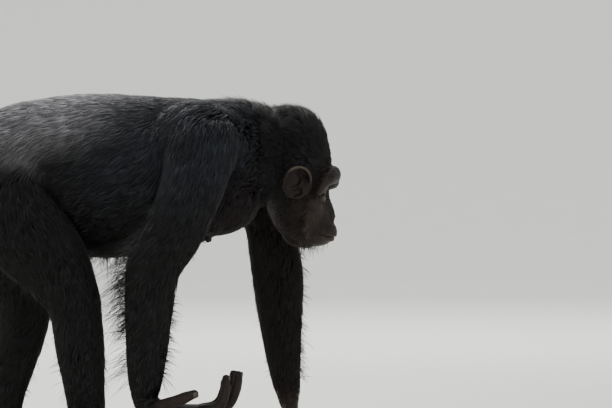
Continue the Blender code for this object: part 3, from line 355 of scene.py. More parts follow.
def trunk():
    """The barrel of the body under its coat, flatter below than above."""
    turns = np.linspace(0, 2 * math.pi, 56, endpoint=False)
    rings = []
    for x, low, high, half in eased(TRUNK, 5):
        middle, tall, wide = (low + high) / 2, (high - low) / 2 - TRUNK_COAT, half - TRUNK_COAT
        across = np.sign(np.cos(turns)) * np.abs(np.cos(turns)) ** 0.9 * max(wide, 0.01)
        up = np.sin(turns) * max(tall, 0.01)
        rings.append([(x, y, middle + z) for y, z in zip(across, up)])
    return lofted(rings)


def skull():
    """Head without its features, as level slices from jaw to crown."""
    turns = np.linspace(0, 2 * math.pi, 56, endpoint=False)
    rings = []
    for z, front, back, half in eased(SKULL, 5):
        middle, reach = (front + back) / 2, (front - back) / 2
        rings.append([(middle + reach * math.cos(t), half * math.sin(t), z) for t in turns])
    return lofted(rings)


MUZZLE_FINE = eased(MUZZLE, 6)


def muzzle_point(angle, z, out=0.0):
    """The point of the muzzle's surface at a height and at an angle from straight ahead."""
    heights = MUZZLE_FINE[:, 0]
    front = np.interp(z, heights, MUZZLE_FINE[:, 1])
    half = np.interp(z, heights, MUZZLE_FINE[:, 3])
    fore = math.copysign(abs(math.cos(angle)) ** MUZZLE_BLUNT, math.cos(angle))
    side = math.copysign(abs(math.sin(angle)) ** MUZZLE_BLUNT, math.sin(angle))
    return (MUZZLE_MIDDLE + (front - MUZZLE_MIDDLE + out) * fore, (half + out) * side, z)


def muzzle():
    turns = np.linspace(0, 2 * math.pi, 64, endpoint=False)
    return lofted([[muzzle_point(turn, z) for turn in turns] for z in eased(MUZZLE, 4)[:, 0]])


def mouth_line(rise, out, count=15):
    """Points along the mouth from corner to corner, its corners a little higher."""
    points = []
    for share in np.linspace(-1, 1, count):
        height = MOUTH_HEIGHT + MOUTH_CORNER_RISE * abs(share) ** 2.5 + rise * (1 - 0.75 * share ** 4)
        points.append(muzzle_point(share * MOUTH_SPREAD, height, out))
    return points


def ear_axes():
    """The right-handed frame of the left ear: short way, long way and out."""
    long_way = Vector((math.sin(EAR_LEAN), 0, math.cos(EAR_LEAN)))
    out = Vector((math.sin(EAR_FLARE), math.cos(EAR_FLARE), 0))
    short_way = out.cross(long_way).normalized()
    out = long_way.cross(short_way).normalized()
    return Matrix.Translation(EAR) @ Matrix((short_way, long_way, out)).transposed().to_4x4()


def ear(flip):
    """Cupped ear on a short root, with its rolled rim and the folds inside it."""
    turn = ear_axes()
    out = tuple(turn.to_3x3().col[2])
    plate = bmesh.new()
    bmesh.ops.create_icosphere(plate, subdivisions=5, radius=1)
    for vertex in plate.verts:
        flat = vertex.co
        dip = EAR_CUP * (1 - min(1, math.hypot(flat.x, flat.y)) ** 2.5)
        vertex.co = turn @ Vector((flat.x * EAR_SHORT, flat.y * EAR_LONG, flat.z * EAR_THICK - dip))
    rim = []
    for angle in np.radians(np.linspace(*EAR_RIM_SWEEP, 19)):
        rim.append(turn @ Vector((
            math.cos(angle) * (EAR_SHORT - EAR_RIM), math.sin(angle) * (EAR_LONG - EAR_RIM), EAR_RIM_LIFT,
        )))
    shapes = [plate, tube([tuple(point) + (EAR_RIM, EAR_RIM) for point in rim], side=out, steps=2, sides=14)]
    for points, radius in EAR_FOLDS:
        fold = [tuple(turn @ Vector(point)) + (radius, radius) for point in points]
        shapes.append(tube(fold, side=out, steps=4, sides=12))
    root = bmesh.new()
    place = Matrix.Translation(EAR_STALK[:3]) @ Matrix.Diagonal(EAR_STALK[3:] + (1,))
    bmesh.ops.create_icosphere(root, subdivisions=4, radius=1, matrix=place)
    shapes.append(root)
    for shape in shapes:
        for vertex in shape.verts:
            vertex.co.y *= flip
        bmesh.ops.recalc_face_normals(shape, faces=shape.faces)
    return shapes


def finger(joints):
    rows = [joint + (joint[3],) for joint in joints]
    return tube(rows, steps=6, sides=20, cap=0.95, side=(0, 1, 0.01))


def toe_rows(ankle, flip, rows):
    """Rows of a foot, given from its ankle, in their places."""
    return [(ankle[0] + row[0], ankle[1] + flip * row[1], row[2]) + tuple(row[3:]) for row in rows]


def foot(ankle, flip):
    sole = tube(toe_rows(ankle, flip, FOOT), cap=0.9)
    return [sole] + [finger(toe_rows(ankle, flip, toe)) for toe in TOES]


def flesh():
    """Every form of the body under its coat, to be fused into one."""
    forms = [trunk(), skull(), muzzle()] + paired(TRUNK_MASSES) + paired(FACE_MASSES)
    forms.append(tube(NOSE))
    for rise in (LIP_RISE, -LIP_RISE):
        forms.append(tube([
            point + (LIP_RADIUS, LIP_RADIUS) for point in mouth_line(rise, 0.0008 - LIP_RADIUS)
        ], side=(0, 0, 1), steps=2, sides=14))
    for rows in (NECK, RIGHT_ARM, LEFT_ARM, RIGHT_LEG, LEFT_LEG, RIGHT_PALM, LEFT_PALM):
        forms.append(tube(rows))
    forms += [finger(joints) for joints in RIGHT_FINGERS + LEFT_FINGERS]
    forms += foot(RIGHT_LEG[-1], -1) + foot(LEFT_LEG[-1], 1)
    for flip in (1, -1):
        forms.append(tube([(x, y * flip, z, deep, tall) for x, y, z, deep, tall in BROW], side=(1, 0, 0.001)))
        forms += ear(flip)
        top, tip, radius = NIPPLES
        forms.append(finger([(x, y * flip, z, radius) for x, y, z in (top, tip)]))
    return forms


# Mesh helpers


def mesh_of(name, shapes):
    """One mesh holding each of the bmeshes, which are freed."""
    whole = bmesh.new()
    for shape in shapes:
        part = bpy.data.meshes.new(name)
        shape.to_mesh(part)
        shape.free()
        whole.from_mesh(part)
        bpy.data.meshes.remove(part)
    mesh = bpy.data.meshes.new(name)
    whole.to_mesh(mesh)
    whole.free()
    return mesh


def object_of(name, mesh):
    made = bpy.data.objects.new(name, mesh)
    bpy.context.scene.collection.objects.link(made)
    return made


def applied(thing):
    """Gives the object the mesh that its modifiers make, and drops them."""
    graph = bpy.context.evaluated_depsgraph_get()
    graph.update()
    mesh = bpy.data.meshes.new_from_object(thing.evaluated_get(graph))
    thing.modifiers.clear()
    old, thing.data = thing.data, mesh
    bpy.data.meshes.remove(old)


def points_of(mesh):
    points = np.empty(len(mesh.vertices) * 3)
    mesh.vertices.foreach_get("co", points)
    return points.reshape(-1, 3)


def set_points(mesh, points):
    mesh.vertices.foreach_set("co", points.ravel())
    mesh.update()


def normals_of(mesh):
    normals = np.empty(len(mesh.vertices) * 3)
    mesh.vertex_normals.foreach_get("vector", normals)
    return normals.reshape(-1, 3)


def weighted(thing, name, weights):
    group = thing.vertex_groups.new(name=name)
    for level in range(51):
        chosen = np.flatnonzero(np.round(weights * 50).astype(int) == level)
        group.add(chosen.tolist(), level / 50, "REPLACE")


def smooth_step(low, high, value):
    share = np.clip((value - low) / (high - low), 0, 1)
    return share * share * (3 - 2 * share)


def bump(value, width):
    """A bell of height 1 round 0."""
    return np.exp(-((value / width) ** 2))


class Noise:
    """Smooth random values in space, the same for the same seed."""

    def __init__(self, seed, size=24):
        self.size = size
        self.table = np.random.default_rng(seed).uniform(-1, 1, (size, size, size))

    def __call__(self, points, scale):
        place = points / scale
        low = np.floor(place).astype(int)
        share = place - low
        share = share * share * (3 - 2 * share)
        total = np.zeros(len(points))
        for corner in range(8):
            step = np.array([corner & 1, corner >> 1 & 1, corner >> 2 & 1])
            weight = np.prod(np.where(step, share, 1 - share), axis=1)
            at = (low + step) % self.size
            total += weight * self.table[at[:, 0], at[:, 1], at[:, 2]]
        return total


# The skin


DETAIL_SPOTS = (
    (0.405, 0.000, 0.545, 0.095, 0.96),
    (0.345, 0.083, 0.595, 0.046, 0.97),
    (0.345, -0.083, 0.595, 0.046, 0.97),
    (0.130, -0.200, 0.140, 0.125, 0.94),
    (0.340, 0.115, 0.050, 0.085, 0.94),
    (-0.020, -0.112, 0.020, 0.130, 0.92),
    (-0.220, 0.102, 0.020, 0.130, 0.92),
)


def detail_weight(points):
    """Near 1 on the face, ears, hands and feet, falling to 0 on the coated body."""
    spots = np.array(DETAIL_SPOTS)
    away = np.linalg.norm(points[:, None] - spots[None, :, :3], axis=2) / spots[:, 3]
    return (np.clip((1.15 - away) / 0.3, 0, 1) * spots[:, 4]).max(axis=1)


def fused_skin():
    """All the forms as one closed skin."""
    skin = object_of("skin", mesh_of("skin", flesh()))
    remesh = skin.modifiers.new("fuse", "REMESH")
    remesh.mode = "VOXEL"
    remesh.voxel_size = SKIN_GRAIN
    applied(skin)
    detail = detail_weight(points_of(skin.data))
    weighted(skin, "coated", 1 - detail)
    weighted(skin, "bare", detail)
    for group, turns in (("coated", 30), ("bare", 5)):
        smooth = skin.modifiers.new("smooth " + group, "SMOOTH")
        smooth.factor = 0.5
        smooth.iterations = turns
        smooth.vertex_group = group
    thin = skin.modifiers.new("thin out", "DECIMATE")
    thin.ratio = min(1, SKIN_TRIANGLES / (2 * len(skin.data.polygons)))
    thin.vertex_group = "coated"
    thin.vertex_group_factor = 1.0
    applied(skin)
    skin.vertex_groups.clear()
    points = points_of(skin.data)
    points[:, 2] = np.maximum(points[:, 2], 0)
    set_points(skin.data, points)
    return skin


def refined(skin, centre, reach):
    """Splits the faces near a place, so that small folds can be shaped there."""
    shape = bmesh.new()
    shape.from_mesh(skin.data)
    centre = Vector(centre)
    edges = [edge for edge in shape.edges
             if all((vertex.co - centre).length < reach for vertex in edge.verts) and edge.calc_length() > 0.0012]
    bmesh.ops.subdivide_edges(shape, edges=edges, cuts=1, smooth=0.15, use_grid_fill=True)
    bmesh.ops.triangulate(shape, faces=shape.faces)
    shape.to_mesh(skin.data)
    shape.free()


def away_from_line(points, line):
    """How far each point is from a polyline."""
    nearest = np.full(len(points), np.inf)
    for a, b in zip(line, line[1:]):
        way = b - a
        share = np.clip((points - a) @ way / (way @ way), 0, 1)
        nearest = np.minimum(nearest, np.linalg.norm(points - (a + share[:, None] * way), axis=1))
    return nearest


def face_relief(points):
    """How far each point of the face moves out of the skin, for lips, nostrils, lids and creases."""
    x, y, z = points.T
    across = np.abs(y)
    out = np.zeros(len(points))
    face = smooth_step(0.350, 0.375, x) * smooth_step(0.075, 0.062, across)

    # The line of the mouth between two full lips, and the crease over the chin
    for rise, depth, width in ((0, -0.0034, 0.0013), (0.0056, 0.0010, 0.0030), (-0.0056, 0.0008, 0.0026)):
        line = np.array(mouth_line(rise, 0.0004, 41))
        out += depth * bump(away_from_line(points, line), width)
    out -= 0.0012 * bump(z - 0.4700, 0.0028) * bump(across, 0.020) * (x > 0.39)

    # Nostrils, slanting in to each other, under a broad flat nose with a groove down its middle
    side, height, wide, tall = NOSTRIL
    slant = (z - height) + 0.45 * (across - side)
    hole = bump((across - side) / wide, 1.0) * bump(slant / tall, 1.0) * (x > 0.40)
    out -= 0.0062 * hole
    ring = np.hypot((across - side) / (wide * 2.2), slant / (tall * 2.4))
    out += 0.0011 * bump(ring - 1, 0.35) * (x > 0.40)
    out -= 0.0007 * bump(across, 0.0018) * smooth_step(0.509, 0.516, z) * smooth_step(0.532, 0.524, z) * (x > 0.40)

    # Lids and the creases round each eye
    turned_y = (across - EYE.y) * math.cos(EYE_TURN) + (x - EYE.x) * math.sin(EYE_TURN) * -1
    eye_y, eye_z = turned_y / EYE_OPENING[1], (z - EYE.z) / EYE_OPENING[2]
    ring = np.hypot(eye_y, eye_z)
    near = (x > 0.385) & (across < 0.06)
    out += np.where(near, 0.0013 * bump(ring - 1.20, 0.22), 0)
    out -= np.where(near, 0.0011 * bump(ring - 1.75, 0.20), 0)
    below = smooth_step(0.2, -0.8, eye_z)
    away = np.hypot(across - EYE.y, (z - EYE.z) * 1.25)
    for radius, depth in ((0.0150, 0.0007), (0.0190, 0.0011), (0.0232, 0.0010), (0.0280, 0.0008)):
        out -= np.where(near, depth * bump(away - radius, 0.0011) * below, 0)
        out += np.where(near, 0.5 * depth * bump(away - radius - 0.0021, 0.0014) * below, 0)

    # Furrows over the nose and across the brow, fine upright ones on the upper lip, pleats on the cheeks
    bridge = smooth_step(0.552, 0.560, z) * smooth_step(0.592, 0.582, z) * bump(across, 0.016)
    out += 0.0006 * np.sin(z / 0.0042 * 2 * math.pi) * bridge * face
    out -= 0.0008 * bump(across - 0.006, 0.0016) * smooth_step(0.572, 0.582, z) * smooth_step(0.612, 0.600, z) * face
    brow = smooth_step(0.600, 0.608, z) * smooth_step(0.634, 0.624, z)
    wave = NOISES[0](points, 0.012)
    out += 0.0005 * np.sin((z + 0.0018 * wave) / 0.0052 * 2 * math.pi) * brow * face
    lip = smooth_step(0.484, 0.489, z) * smooth_step(0.511, 0.503, z)
    out += 0.00032 * np.sin((y + 0.0015 * wave) / 0.0046 * 2 * math.pi) * lip * face
    cheek = smooth_step(0.470, 0.485, z) * smooth_step(0.545, 0.525, z) * smooth_step(0.030, 0.040, across)
    fold = x + 0.28 * (z - 0.50) + 0.003 * NOISES[1](points, 0.018)
    out += 0.0007 * np.sin(fold / 0.0085 * 2 * math.pi) * cheek * face
    out += 0.00035 * NOISES[2](points, 0.0032) * face
    return out


def hand_relief(points):
    """Creases round the joints of fingers and toes, and fine pads on palms and soles."""
    out = np.zeros(len(points))
    digits = [joints for joints in RIGHT_FINGERS + LEFT_FINGERS]
    for leg, flip in ((RIGHT_LEG, -1), (LEFT_LEG, 1)):
        digits += [toe_rows(leg[-1], flip, toe) for toe in TOES]
    low = points[:, 2] < 0.22
    near_hands = np.flatnonzero(low)
    chosen = points[near_hands]
    total = np.zeros(len(chosen))
    for joints in digits:
        rows = np.array(joints)
        for i in range(1, len(rows) - 1):
            here = rows[i, :3]
            way = rows[i + 1, :3] - rows[i - 1, :3]
            way /= np.linalg.norm(way)
            offset = chosen - here
            along = offset @ way
            close = np.linalg.norm(offset, axis=1) < rows[i, 3] * 1.9
            for place in (-0.0042, -0.0012, 0.0018, 0.0046):
                total -= np.where(close, 0.00055 * bump(along - place, 0.0009), 0)
            total += np.where(close, 0.0008 * bump(along, 0.0065), 0)
    total += 0.00025 * NOISES[2](chosen, 0.0035)
    out[near_hands] = total
    return out


NOISES = [Noise(seed) for seed in range(11, 19)]


def build_skin():
    skin = fused_skin()
    refined(skin, (0.405, 0, 0.545), 0.088)
    points, normals = points_of(skin.data), normals_of(skin.data)
    relief = np.zeros(len(points))
    face = (points[:, 0] > 0.345) & (points[:, 2] > 0.45) & (points[:, 2] < 0.66) & (np.abs(points[:, 1]) < 0.08)
    relief[face] = face_relief(points[face])
    relief += hand_relief(points) * detail_weight(points)
    points += normals * relief[:, None]
    points[:, 2] = np.maximum(points[:, 2], 0)
    set_points(skin.data, points)
    return skin


def cut(thing, shapes):
    """Cuts closed shapes out of the thing."""
    for shape in shapes:
        cutter = object_of("cutter", mesh_of("cutter", [shape]))
        step = thing.modifiers.new("cut", "BOOLEAN")
        step.operation, step.solver, step.object = "DIFFERENCE", "MANIFOLD", cutter
        applied(thing)
        mesh = cutter.data
        bpy.data.objects.remove(cutter)
        bpy.data.meshes.remove(mesh)


def eye_holes():
    """A socket for each eyeball and the slit between its lids."""
    shapes = []
    for flip in (1, -1):
        at = Matrix.Translation((EYE.x, EYE.y * flip, EYE.z))
        turn = Matrix.Rotation(flip * EYE_TURN, 4, "Z")
        socket, opening = bmesh.new(), bmesh.new()
        bmesh.ops.create_icosphere(socket, subdivisions=4, radius=EYEBALL + 0.0003, matrix=at)
        slit = at @ turn @ Matrix.Translation((0.0125, 0, 0)) @ Matrix.Diagonal(EYE_OPENING + (1,))
        bmesh.ops.create_icosphere(opening, subdivisions=4, radius=1, matrix=slit)
        shapes += [socket, opening]
    return shapes


# Markings and a painted blue sheen, the same for the skin and the coat


def markings(points):
    """Share of grey, of painted blue-black sheen (sky light painted on the upper body) and of pale beard in the coat
    over each place.
    """
    x, y, z = points.T
    drift = 0.030 * NOISES[3](points, 0.060) + 0.014 * NOISES[4](points, 0.020)
    high = smooth_step(0.630, 0.728, z + 0.6 * drift - 0.045 * smooth_step(-0.20, 0.05, x))
    loin = smooth_step(0.09, -0.10, x + drift) * high
    rear = 0.22 * smooth_step(-0.22, -0.38, x + drift) * smooth_step(0.56, 0.70, z)
    grey = np.clip(np.maximum(loin, rear) * (0.92 + 0.25 * NOISES[4](points, 0.016)), 0, 1)
    # Painted sheen: a bluer tint over the shoulders and upper back, standing in for sky light reflected off the coat
    sheen = smooth_step(-0.16, 0.02, x) * smooth_step(0.300, 0.22, x) * smooth_step(0.50, 0.66, z)
    sheen *= 0.80 + 0.35 * NOISES[5](points, 0.045)
    beard = bump(np.linalg.norm((points - [0.395, 0, 0.462]) / [1.3, 1.4, 0.6], axis=1), 0.022)
    return grey, np.clip(sheen, 0, 1), np.clip(beard, 0, 1)


def skin_marks(points):
    """How pale each place of the skin is: random tone, a painted highlight on the top of each ear's rim and round each
    eye, the rest of the ear a little darker, a paler upper lip and a darker brow.
    """
    x, y, z = points.T
    pale = 0.08 + 0.10 * NOISES[3](points, 0.020) + 0.07 * NOISES[4](points, 0.006)
    turn = np.array(ear_axes().inverted())
    mirrored = np.column_stack([x, np.abs(y), z, np.ones(len(points))])
    local = mirrored @ turn.T
    round_way = np.hypot(local[:, 0] / EAR_SHORT, local[:, 1] / EAR_LONG)
    on_ear = (np.abs(local[:, 2]) < 0.014) & (round_way < 1.12)
    # Painted highlight: the top of each ear's rim made pale, as if lit from above; the rest of the ear is made a
    # little darker
    top = smooth_step(0.006, 0.022, local[:, 1]) * smooth_step(0.82, 0.95, round_way)
    pale += np.where(on_ear, 0.80 * top + 0.04 * smooth_step(0.8, 0.93, round_way) - 0.12, 0)
    # Painted highlight: a paler ring round and just under each eye, standing in for light caught in its creases
    away = np.hypot(np.abs(y) - EYE.y, (z - EYE.z + 0.008) * 1.1)
    pale += 0.15 * bump(away - 0.014, 0.012) * (x > 0.375)
    pale += 0.10 * bump(z - 0.4850, 0.010) * smooth_step(0.385, 0.405, x)
    pale -= 0.08 * bump(z - 0.612, 0.020) * (x > 0.38)
    return np.clip(pale, 0, 1)


def store(mesh, name, values):
    layer = mesh.attributes.new(name, "FLOAT", "POINT")
    layer.data.foreach_set("value", values.astype(np.float32))


# Materials


class Nodes:
    """A short way to write a material's nodes."""

    def __init__(self, name):
        self.material = bpy.data.materials.new(name)
        self.material.use_nodes = True
        self.tree = self.material.node_tree
        self.shader = self.tree.nodes["Principled BSDF"]

    def add(self, kind, settings=None, **inputs):
        node = self.tree.nodes.new(kind)
        for key, value in (settings or {}).items():
            setattr(node, key, value)
        for key, value in inputs.items():
            socket = node.inputs[int(key[1:])] if key[0] == "i" and key[1:].isdigit() else node.inputs[key]
            if isinstance(value, bpy.types.NodeSocket):
                self.tree.links.new(value, socket)
            else:
                socket.default_value = value
        return node.outputs

    def mark(self, name):
        return self.add("ShaderNodeAttribute", {"attribute_name": name})["Fac"]

    def mix(self, share, first, second):
        node = self.tree.nodes.new("ShaderNodeMix")
        node.data_type = "RGBA"
        for socket, value in ((node.inputs[0], share), (node.inputs[6], first), (node.inputs[7], second)):
            if isinstance(value, bpy.types.NodeSocket):
                self.tree.links.new(value, socket)
            else:
                socket.default_value = value
        return node.outputs[2]

    def maths(self, operation, first, second=0.0):
        return self.add("ShaderNodeMath", {"operation": operation}, i0=first, i1=second)["Value"]

    def noise(self, scale, detail=4.0, roughness=0.55):
        place = self.add("ShaderNodeTexCoord")["Object"]
        return self.add(
            "ShaderNodeTexNoise", Vector=place, Scale=scale, Detail=detail, Roughness=roughness)["Fac"]

    def bumped(self, height, strength, distance):
        normal = self.add("ShaderNodeBump", Height=height, Strength=strength, Distance=distance)["Normal"]
        self.tree.links.new(normal, self.shader.inputs["Normal"])

    def colour(self, socket):
        self.tree.links.new(socket, self.shader.inputs["Base Color"])

    def rough(self, socket):
        self.tree.links.new(socket, self.shader.inputs["Roughness"])


def coat_colour(nodes, strand):
    """The coat's black, its painted blue sheen and its silver, and the pale hairs of the chin."""
    black = nodes.mix(strand, (0.0060, 0.0055, 0.0057, 1), (0.0140, 0.0127, 0.0126, 1))
    # Painted sheen: the blue of sky light reflected off the hair, mixed in where the sheen share is high
    blue = nodes.mix(strand, (0.0110, 0.0125, 0.0170, 1), (0.0270, 0.0300, 0.0390, 1))
    silver = nodes.mix(strand, (0.1260, 0.1220, 0.1300, 1), (0.3700, 0.3560, 0.3720, 1))
    white = nodes.mix(strand, (0.060, 0.055, 0.046, 1), (0.24, 0.22, 0.18, 1))
    brown = nodes.mix(strand, (0.0110, 0.0054, 0.0044, 1), (0.0260, 0.0135, 0.0115, 1))
    black = nodes.mix(nodes.mark("thin"), black, brown)
    colour = nodes.mix(nodes.mark("sheen"), black, blue)
    colour = nodes.mix(nodes.mark("grey"), colour, silver)
    return nodes.mix(nodes.mark("beard"), colour, white)


def skin_material():
    nodes = Nodes("skin dark")
    pale = nodes.mark("pale")
    blotch = nodes.noise(38.0)
    base = nodes.mix(blotch, (0.0046, 0.0023, 0.0018, 1), (0.0140, 0.0074, 0.0054, 1))
    # Pale skin colour: for paler random tone, and for the painted highlights on the top of the ear rims and round the
    # eyes
    bare = nodes.mix(pale, base, (0.074, 0.055, 0.040, 1))
    under = coat_colour(nodes, nodes.maths("MULTIPLY", nodes.noise(240.0, 3.0), 0.7))
    nodes.colour(nodes.mix(nodes.mark("bare"), under, bare))
    pores = nodes.add("ShaderNodeTexVoronoi", {"feature": "DISTANCE_TO_EDGE"},
                      Vector=nodes.add("ShaderNodeTexCoord")["Object"], Scale=420.0)["Distance"]
    fine = nodes.noise(160.0, 5.0)
    height = nodes.maths("ADD", nodes.maths("MULTIPLY", pores, 0.9), fine)
    nodes.bumped(height, 0.55, 0.0012)
    nodes.rough(nodes.maths("ADD", nodes.maths("MULTIPLY", fine, 0.25), 0.42))
    nodes.shader.inputs["Specular IOR Level"].default_value = 0.20
    return nodes.material


def coat_material():
    nodes = Nodes("coat")
    strand = nodes.mark("strand")
    nodes.colour(coat_colour(nodes, strand))
    nodes.rough(nodes.maths("ADD", nodes.maths("MULTIPLY", strand, 0.14), 0.42))
    nodes.bumped(nodes.noise(900.0, 2.0), 0.25, 0.0004)
    nodes.shader.inputs["Specular IOR Level"].default_value = 0.32
    return nodes.material


def nail_material():
    nodes = Nodes("nail")
    tone = nodes.noise(260.0, 3.0)
    nodes.colour(nodes.mix(tone, (0.020, 0.016, 0.014, 1), (0.060, 0.048, 0.040, 1)))
    nodes.bumped(nodes.noise(500.0, 2.0), 0.3, 0.0004)
    nodes.shader.inputs["Roughness"].default_value = 0.3
    return nodes.material


def eye_material():
    """Dark brown white, red-brown iris and black pupil, by the angle from where the eye looks."""
    nodes = Nodes("eye")
    ring = nodes.mark("ring")
    fibre = nodes.noise(900.0, 4.0)
    iris = nodes.mix(fibre, (0.020, 0.008, 0.004, 1), (0.085, 0.036, 0.014, 1))
    white = nodes.mix(fibre, (0.016, 0.010, 0.008, 1), (0.045, 0.030, 0.024, 1))
    in_pupil = nodes.maths("LESS_THAN", ring, 0.21)
    in_iris = nodes.maths("LESS_THAN", ring, 0.56)
    edge = nodes.maths("GREATER_THAN", ring, 0.50)
    iris = nodes.mix(nodes.maths("MULTIPLY", edge, 0.75), iris, (0.010, 0.005, 0.003, 1))
    colour = nodes.mix(in_iris, white, iris)
    nodes.colour(nodes.mix(in_pupil, colour, (0.002, 0.002, 0.002, 1)))
    nodes.shader.inputs["Roughness"].default_value = 0.06
    nodes.shader.inputs["Specular IOR Level"].default_value = 0.35
    nodes.shader.inputs["Coat Weight"].default_value = 0.30
    nodes.shader.inputs["Coat Roughness"].default_value = 0.03
    return nodes.material


# The coat


class Ground:
    """The skin as ground for the coat: its triangles, with their sizes and facing, and nearest places on it."""

    def __init__(self, skin):
        self.tree = BVHTree.FromPolygons(
            [tuple(p) for p in points_of(skin.data)],
            [tuple(face.vertices) for face in skin.data.polygons])
        self.triangles(skin)

    def triangles(self, skin):
        mesh = skin.data
        mesh.calc_loop_triangles()
        index = np.empty(len(mesh.loop_triangles) * 3, int)
        mesh.loop_triangles.foreach_get("vertices", index)
        corners = points_of(mesh)[index.reshape(-1, 3)]
        cross = np.cross(corners[:, 1] - corners[:, 0], corners[:, 2] - corners[:, 0])
        self.area = np.linalg.norm(cross, axis=1) / 2
        self.facing = cross / np.maximum(2 * self.area[:, None], 1e-12)
        self.corners = corners

    def nearest(self, points):
        """Where each point lands on the skin, and which way the skin faces there."""
        places, facing = np.empty_like(points), np.empty_like(points)
        for i, point in enumerate(points):
            place, normal = self.tree.find_nearest(point)[:2]
            places[i], facing[i] = place, normal
        return places, facing


def unit(vectors):
    return vectors / np.maximum(np.linalg.norm(vectors, axis=1), 1e-9)[:, None]


def flat_to(vectors, normals):
    """The part of each vector that lies along the skin, at unit length."""
    return unit(vectors - normals * (vectors * normals).sum(axis=1)[:, None])


LIMBS = (RIGHT_ARM, LEFT_ARM, RIGHT_LEG, LEFT_LEG)


def limb_places(points):
    """Which limb each point belongs to, how far down it, which way it runs, and its coat there."""
    best = np.full(len(points), np.inf)
    which = np.full(len(points), -1)
    down = np.zeros(len(points))
    way = np.zeros_like(points)
    depth = np.zeros(len(points))
    for number, rows in enumerate(LIMBS):
        fine = eased(rows, 12)
        centres = fine[:, :3]
        along = unit(np.gradient(centres, axis=0))
        for start in range(0, len(points), 20_000):
            part = slice(start, start + 20_000)
            away = np.linalg.norm(points[part, None] - centres[None], axis=2)
            nearest = away.argmin(axis=1)
            ratio = away[np.arange(len(nearest)), nearest] / fine[nearest, 3:5].max(axis=1)
            closer = ratio < best[part]
            best[part] = np.where(closer, ratio, best[part])
            which[part] = np.where(closer, number, which[part])
            down[part] = np.where(closer, nearest / 12, down[part])
            depth[part] = np.where(closer, fine[nearest, 5], depth[part])
            way[part] = np.where(closer[:, None], along[nearest], way[part])
    share = smooth_step(1.65, 1.15, best) * smooth_step(0.1, 1.3, down)
    return which, down, way, depth, share


def lie_of_coat(points, normals, limb_way, limb_share):
    """Which way the coat lies: back along the body, down the limbs, up and back over the head."""
    x, y, z = points.T
    side = np.abs(normals[:, 1])
    aft = smooth_step(-0.26, -0.42, x)
    body = np.column_stack([-np.ones(len(x)), 0.12 * np.sign(y) * side, -0.42 * side - 1.1 * aft - 0.12])
    shoulder = smooth_step(0.03, 0.15, x) * smooth_step(0.085, 0.125, np.abs(y))
    body += shoulder[:, None] * np.array([0.30, 0, -0.80])
    chest = smooth_step(0.14, 0.22, x) * smooth_step(0.60, 0.52, z)
    body += chest[:, None] * np.array([0.35, 0, -0.55])
    limb = limb_way + np.array([-0.20, 0, 0])
    way = body * (1 - limb_share[:, None]) + limb * limb_share[:, None]
    crown = smooth_step(0.600, 0.665, z)
    head = np.column_stack([-np.ones(len(x)), 0.25 * np.sign(y) * side * crown, 1.05 * crown - 0.60])
    head_share = smooth_step(0.250, 0.300, x) * (1 - limb_share) * smooth_step(0.10, 0.085, np.abs(y))
    way = way * (1 - head_share[:, None]) + head * head_share[:, None]
    return unit(way), head_share


# Where the face is bare, and where its hair is sparse: height, then x of the edge
FACE_EDGE = (
    (0.455, 0.380, 0.362), (0.475, 0.366, 0.345), (0.500, 0.358, 0.326), (0.530, 0.362, 0.330),
    (0.555, 0.370, 0.340), (0.570, 0.380, 0.352), (0.585, 0.392, 0.368), (0.600, 0.401, 0.380),
    (0.622, 0.409, 0.394), (0.634, 0.418, 0.405), (0.645, 0.440, 0.430),
)


def bare_share(points):
    """How bare each place is (face, ears, palms, soles and digits), and how sparse its hair is."""
    x, y, z = points.T
    across = np.abs(y)
    heights, bare_edge, sparse_edge = np.array(FACE_EDGE).T
    ragged = 0.004 * NOISES[6](points, 0.012)
    on_face = (z > 0.44) & (across < 0.075) & (x > 0.30)
    over = x + ragged - 0.15 * np.maximum(0, across - 0.035) - np.interp(z, heights, bare_edge)
    face = smooth_step(-0.004, 0.006, over) * on_face
    over = x + ragged - np.interp(z, heights, sparse_edge)
    sparse = smooth_step(-0.012, 0.016, over) * on_face
    mirrored = np.column_stack([x, across, z])
    ears = smooth_step(0.046, 0.040, np.linalg.norm(mirrored - np.array(EAR), axis=1))
    ears *= smooth_step(0.064, 0.070, across)
    hands = smooth_step(0.150, 0.132, z) * smooth_step(0.0, 0.02, x) * smooth_step(0.30, 0.24, x)
    hands = np.maximum(hands, smooth_step(0.088, 0.070, z) * (x > 0.27))
    palm = smooth_step(0.055, 0.075, x) * (y < -0.13) * (z < 0.22)
    feet = smooth_step(0.052, 0.034, z)
    nipple = smooth_step(0.016, 0.010, np.linalg.norm(mirrored - [0.158, 0.060, 0.482], axis=1))
    bare = np.clip(face + ears + hands + palm + feet + nipple, 0, 1)
    front = 1.3 * bump(np.linalg.norm((mirrored - [0.226, 0.105, 0.590]) / [0.050, 0.085, 0.088], axis=1), 1.0)
    throat = smooth_step(0.25, 0.30, x) * smooth_step(0.58, 0.52, z) * 0.5
    wrist = 0.5 * smooth_step(0.20, 0.13, z) * (x > 0)
    return bare, np.clip(sparse + np.clip(front, 0, 1) * 0.85 + throat + wrist, 0, 1) * (1 - bare)


def coat_thickness(points, limb_depth, limb_share, head_share):
    """How far the tips stand off the skin."""
    x, y, z = points.T
    thick = TRUNK_COAT * (1 - limb_share) + limb_depth * limb_share
    nape = smooth_step(0.20, 0.26, x) * smooth_step(0.66, 0.72, z) * (1 - limb_share)
    thick = thick * (1 - nape) + 0.031 * nape
    scalp = 0.006 + 0.021 * smooth_step(0.625, 0.712, z)
    scalp = np.maximum(scalp, 0.028 * smooth_step(0.330, 0.290, x) * smooth_step(0.60, 0.68, z))
    return thick * (1 - head_share) + scalp * head_share, nape


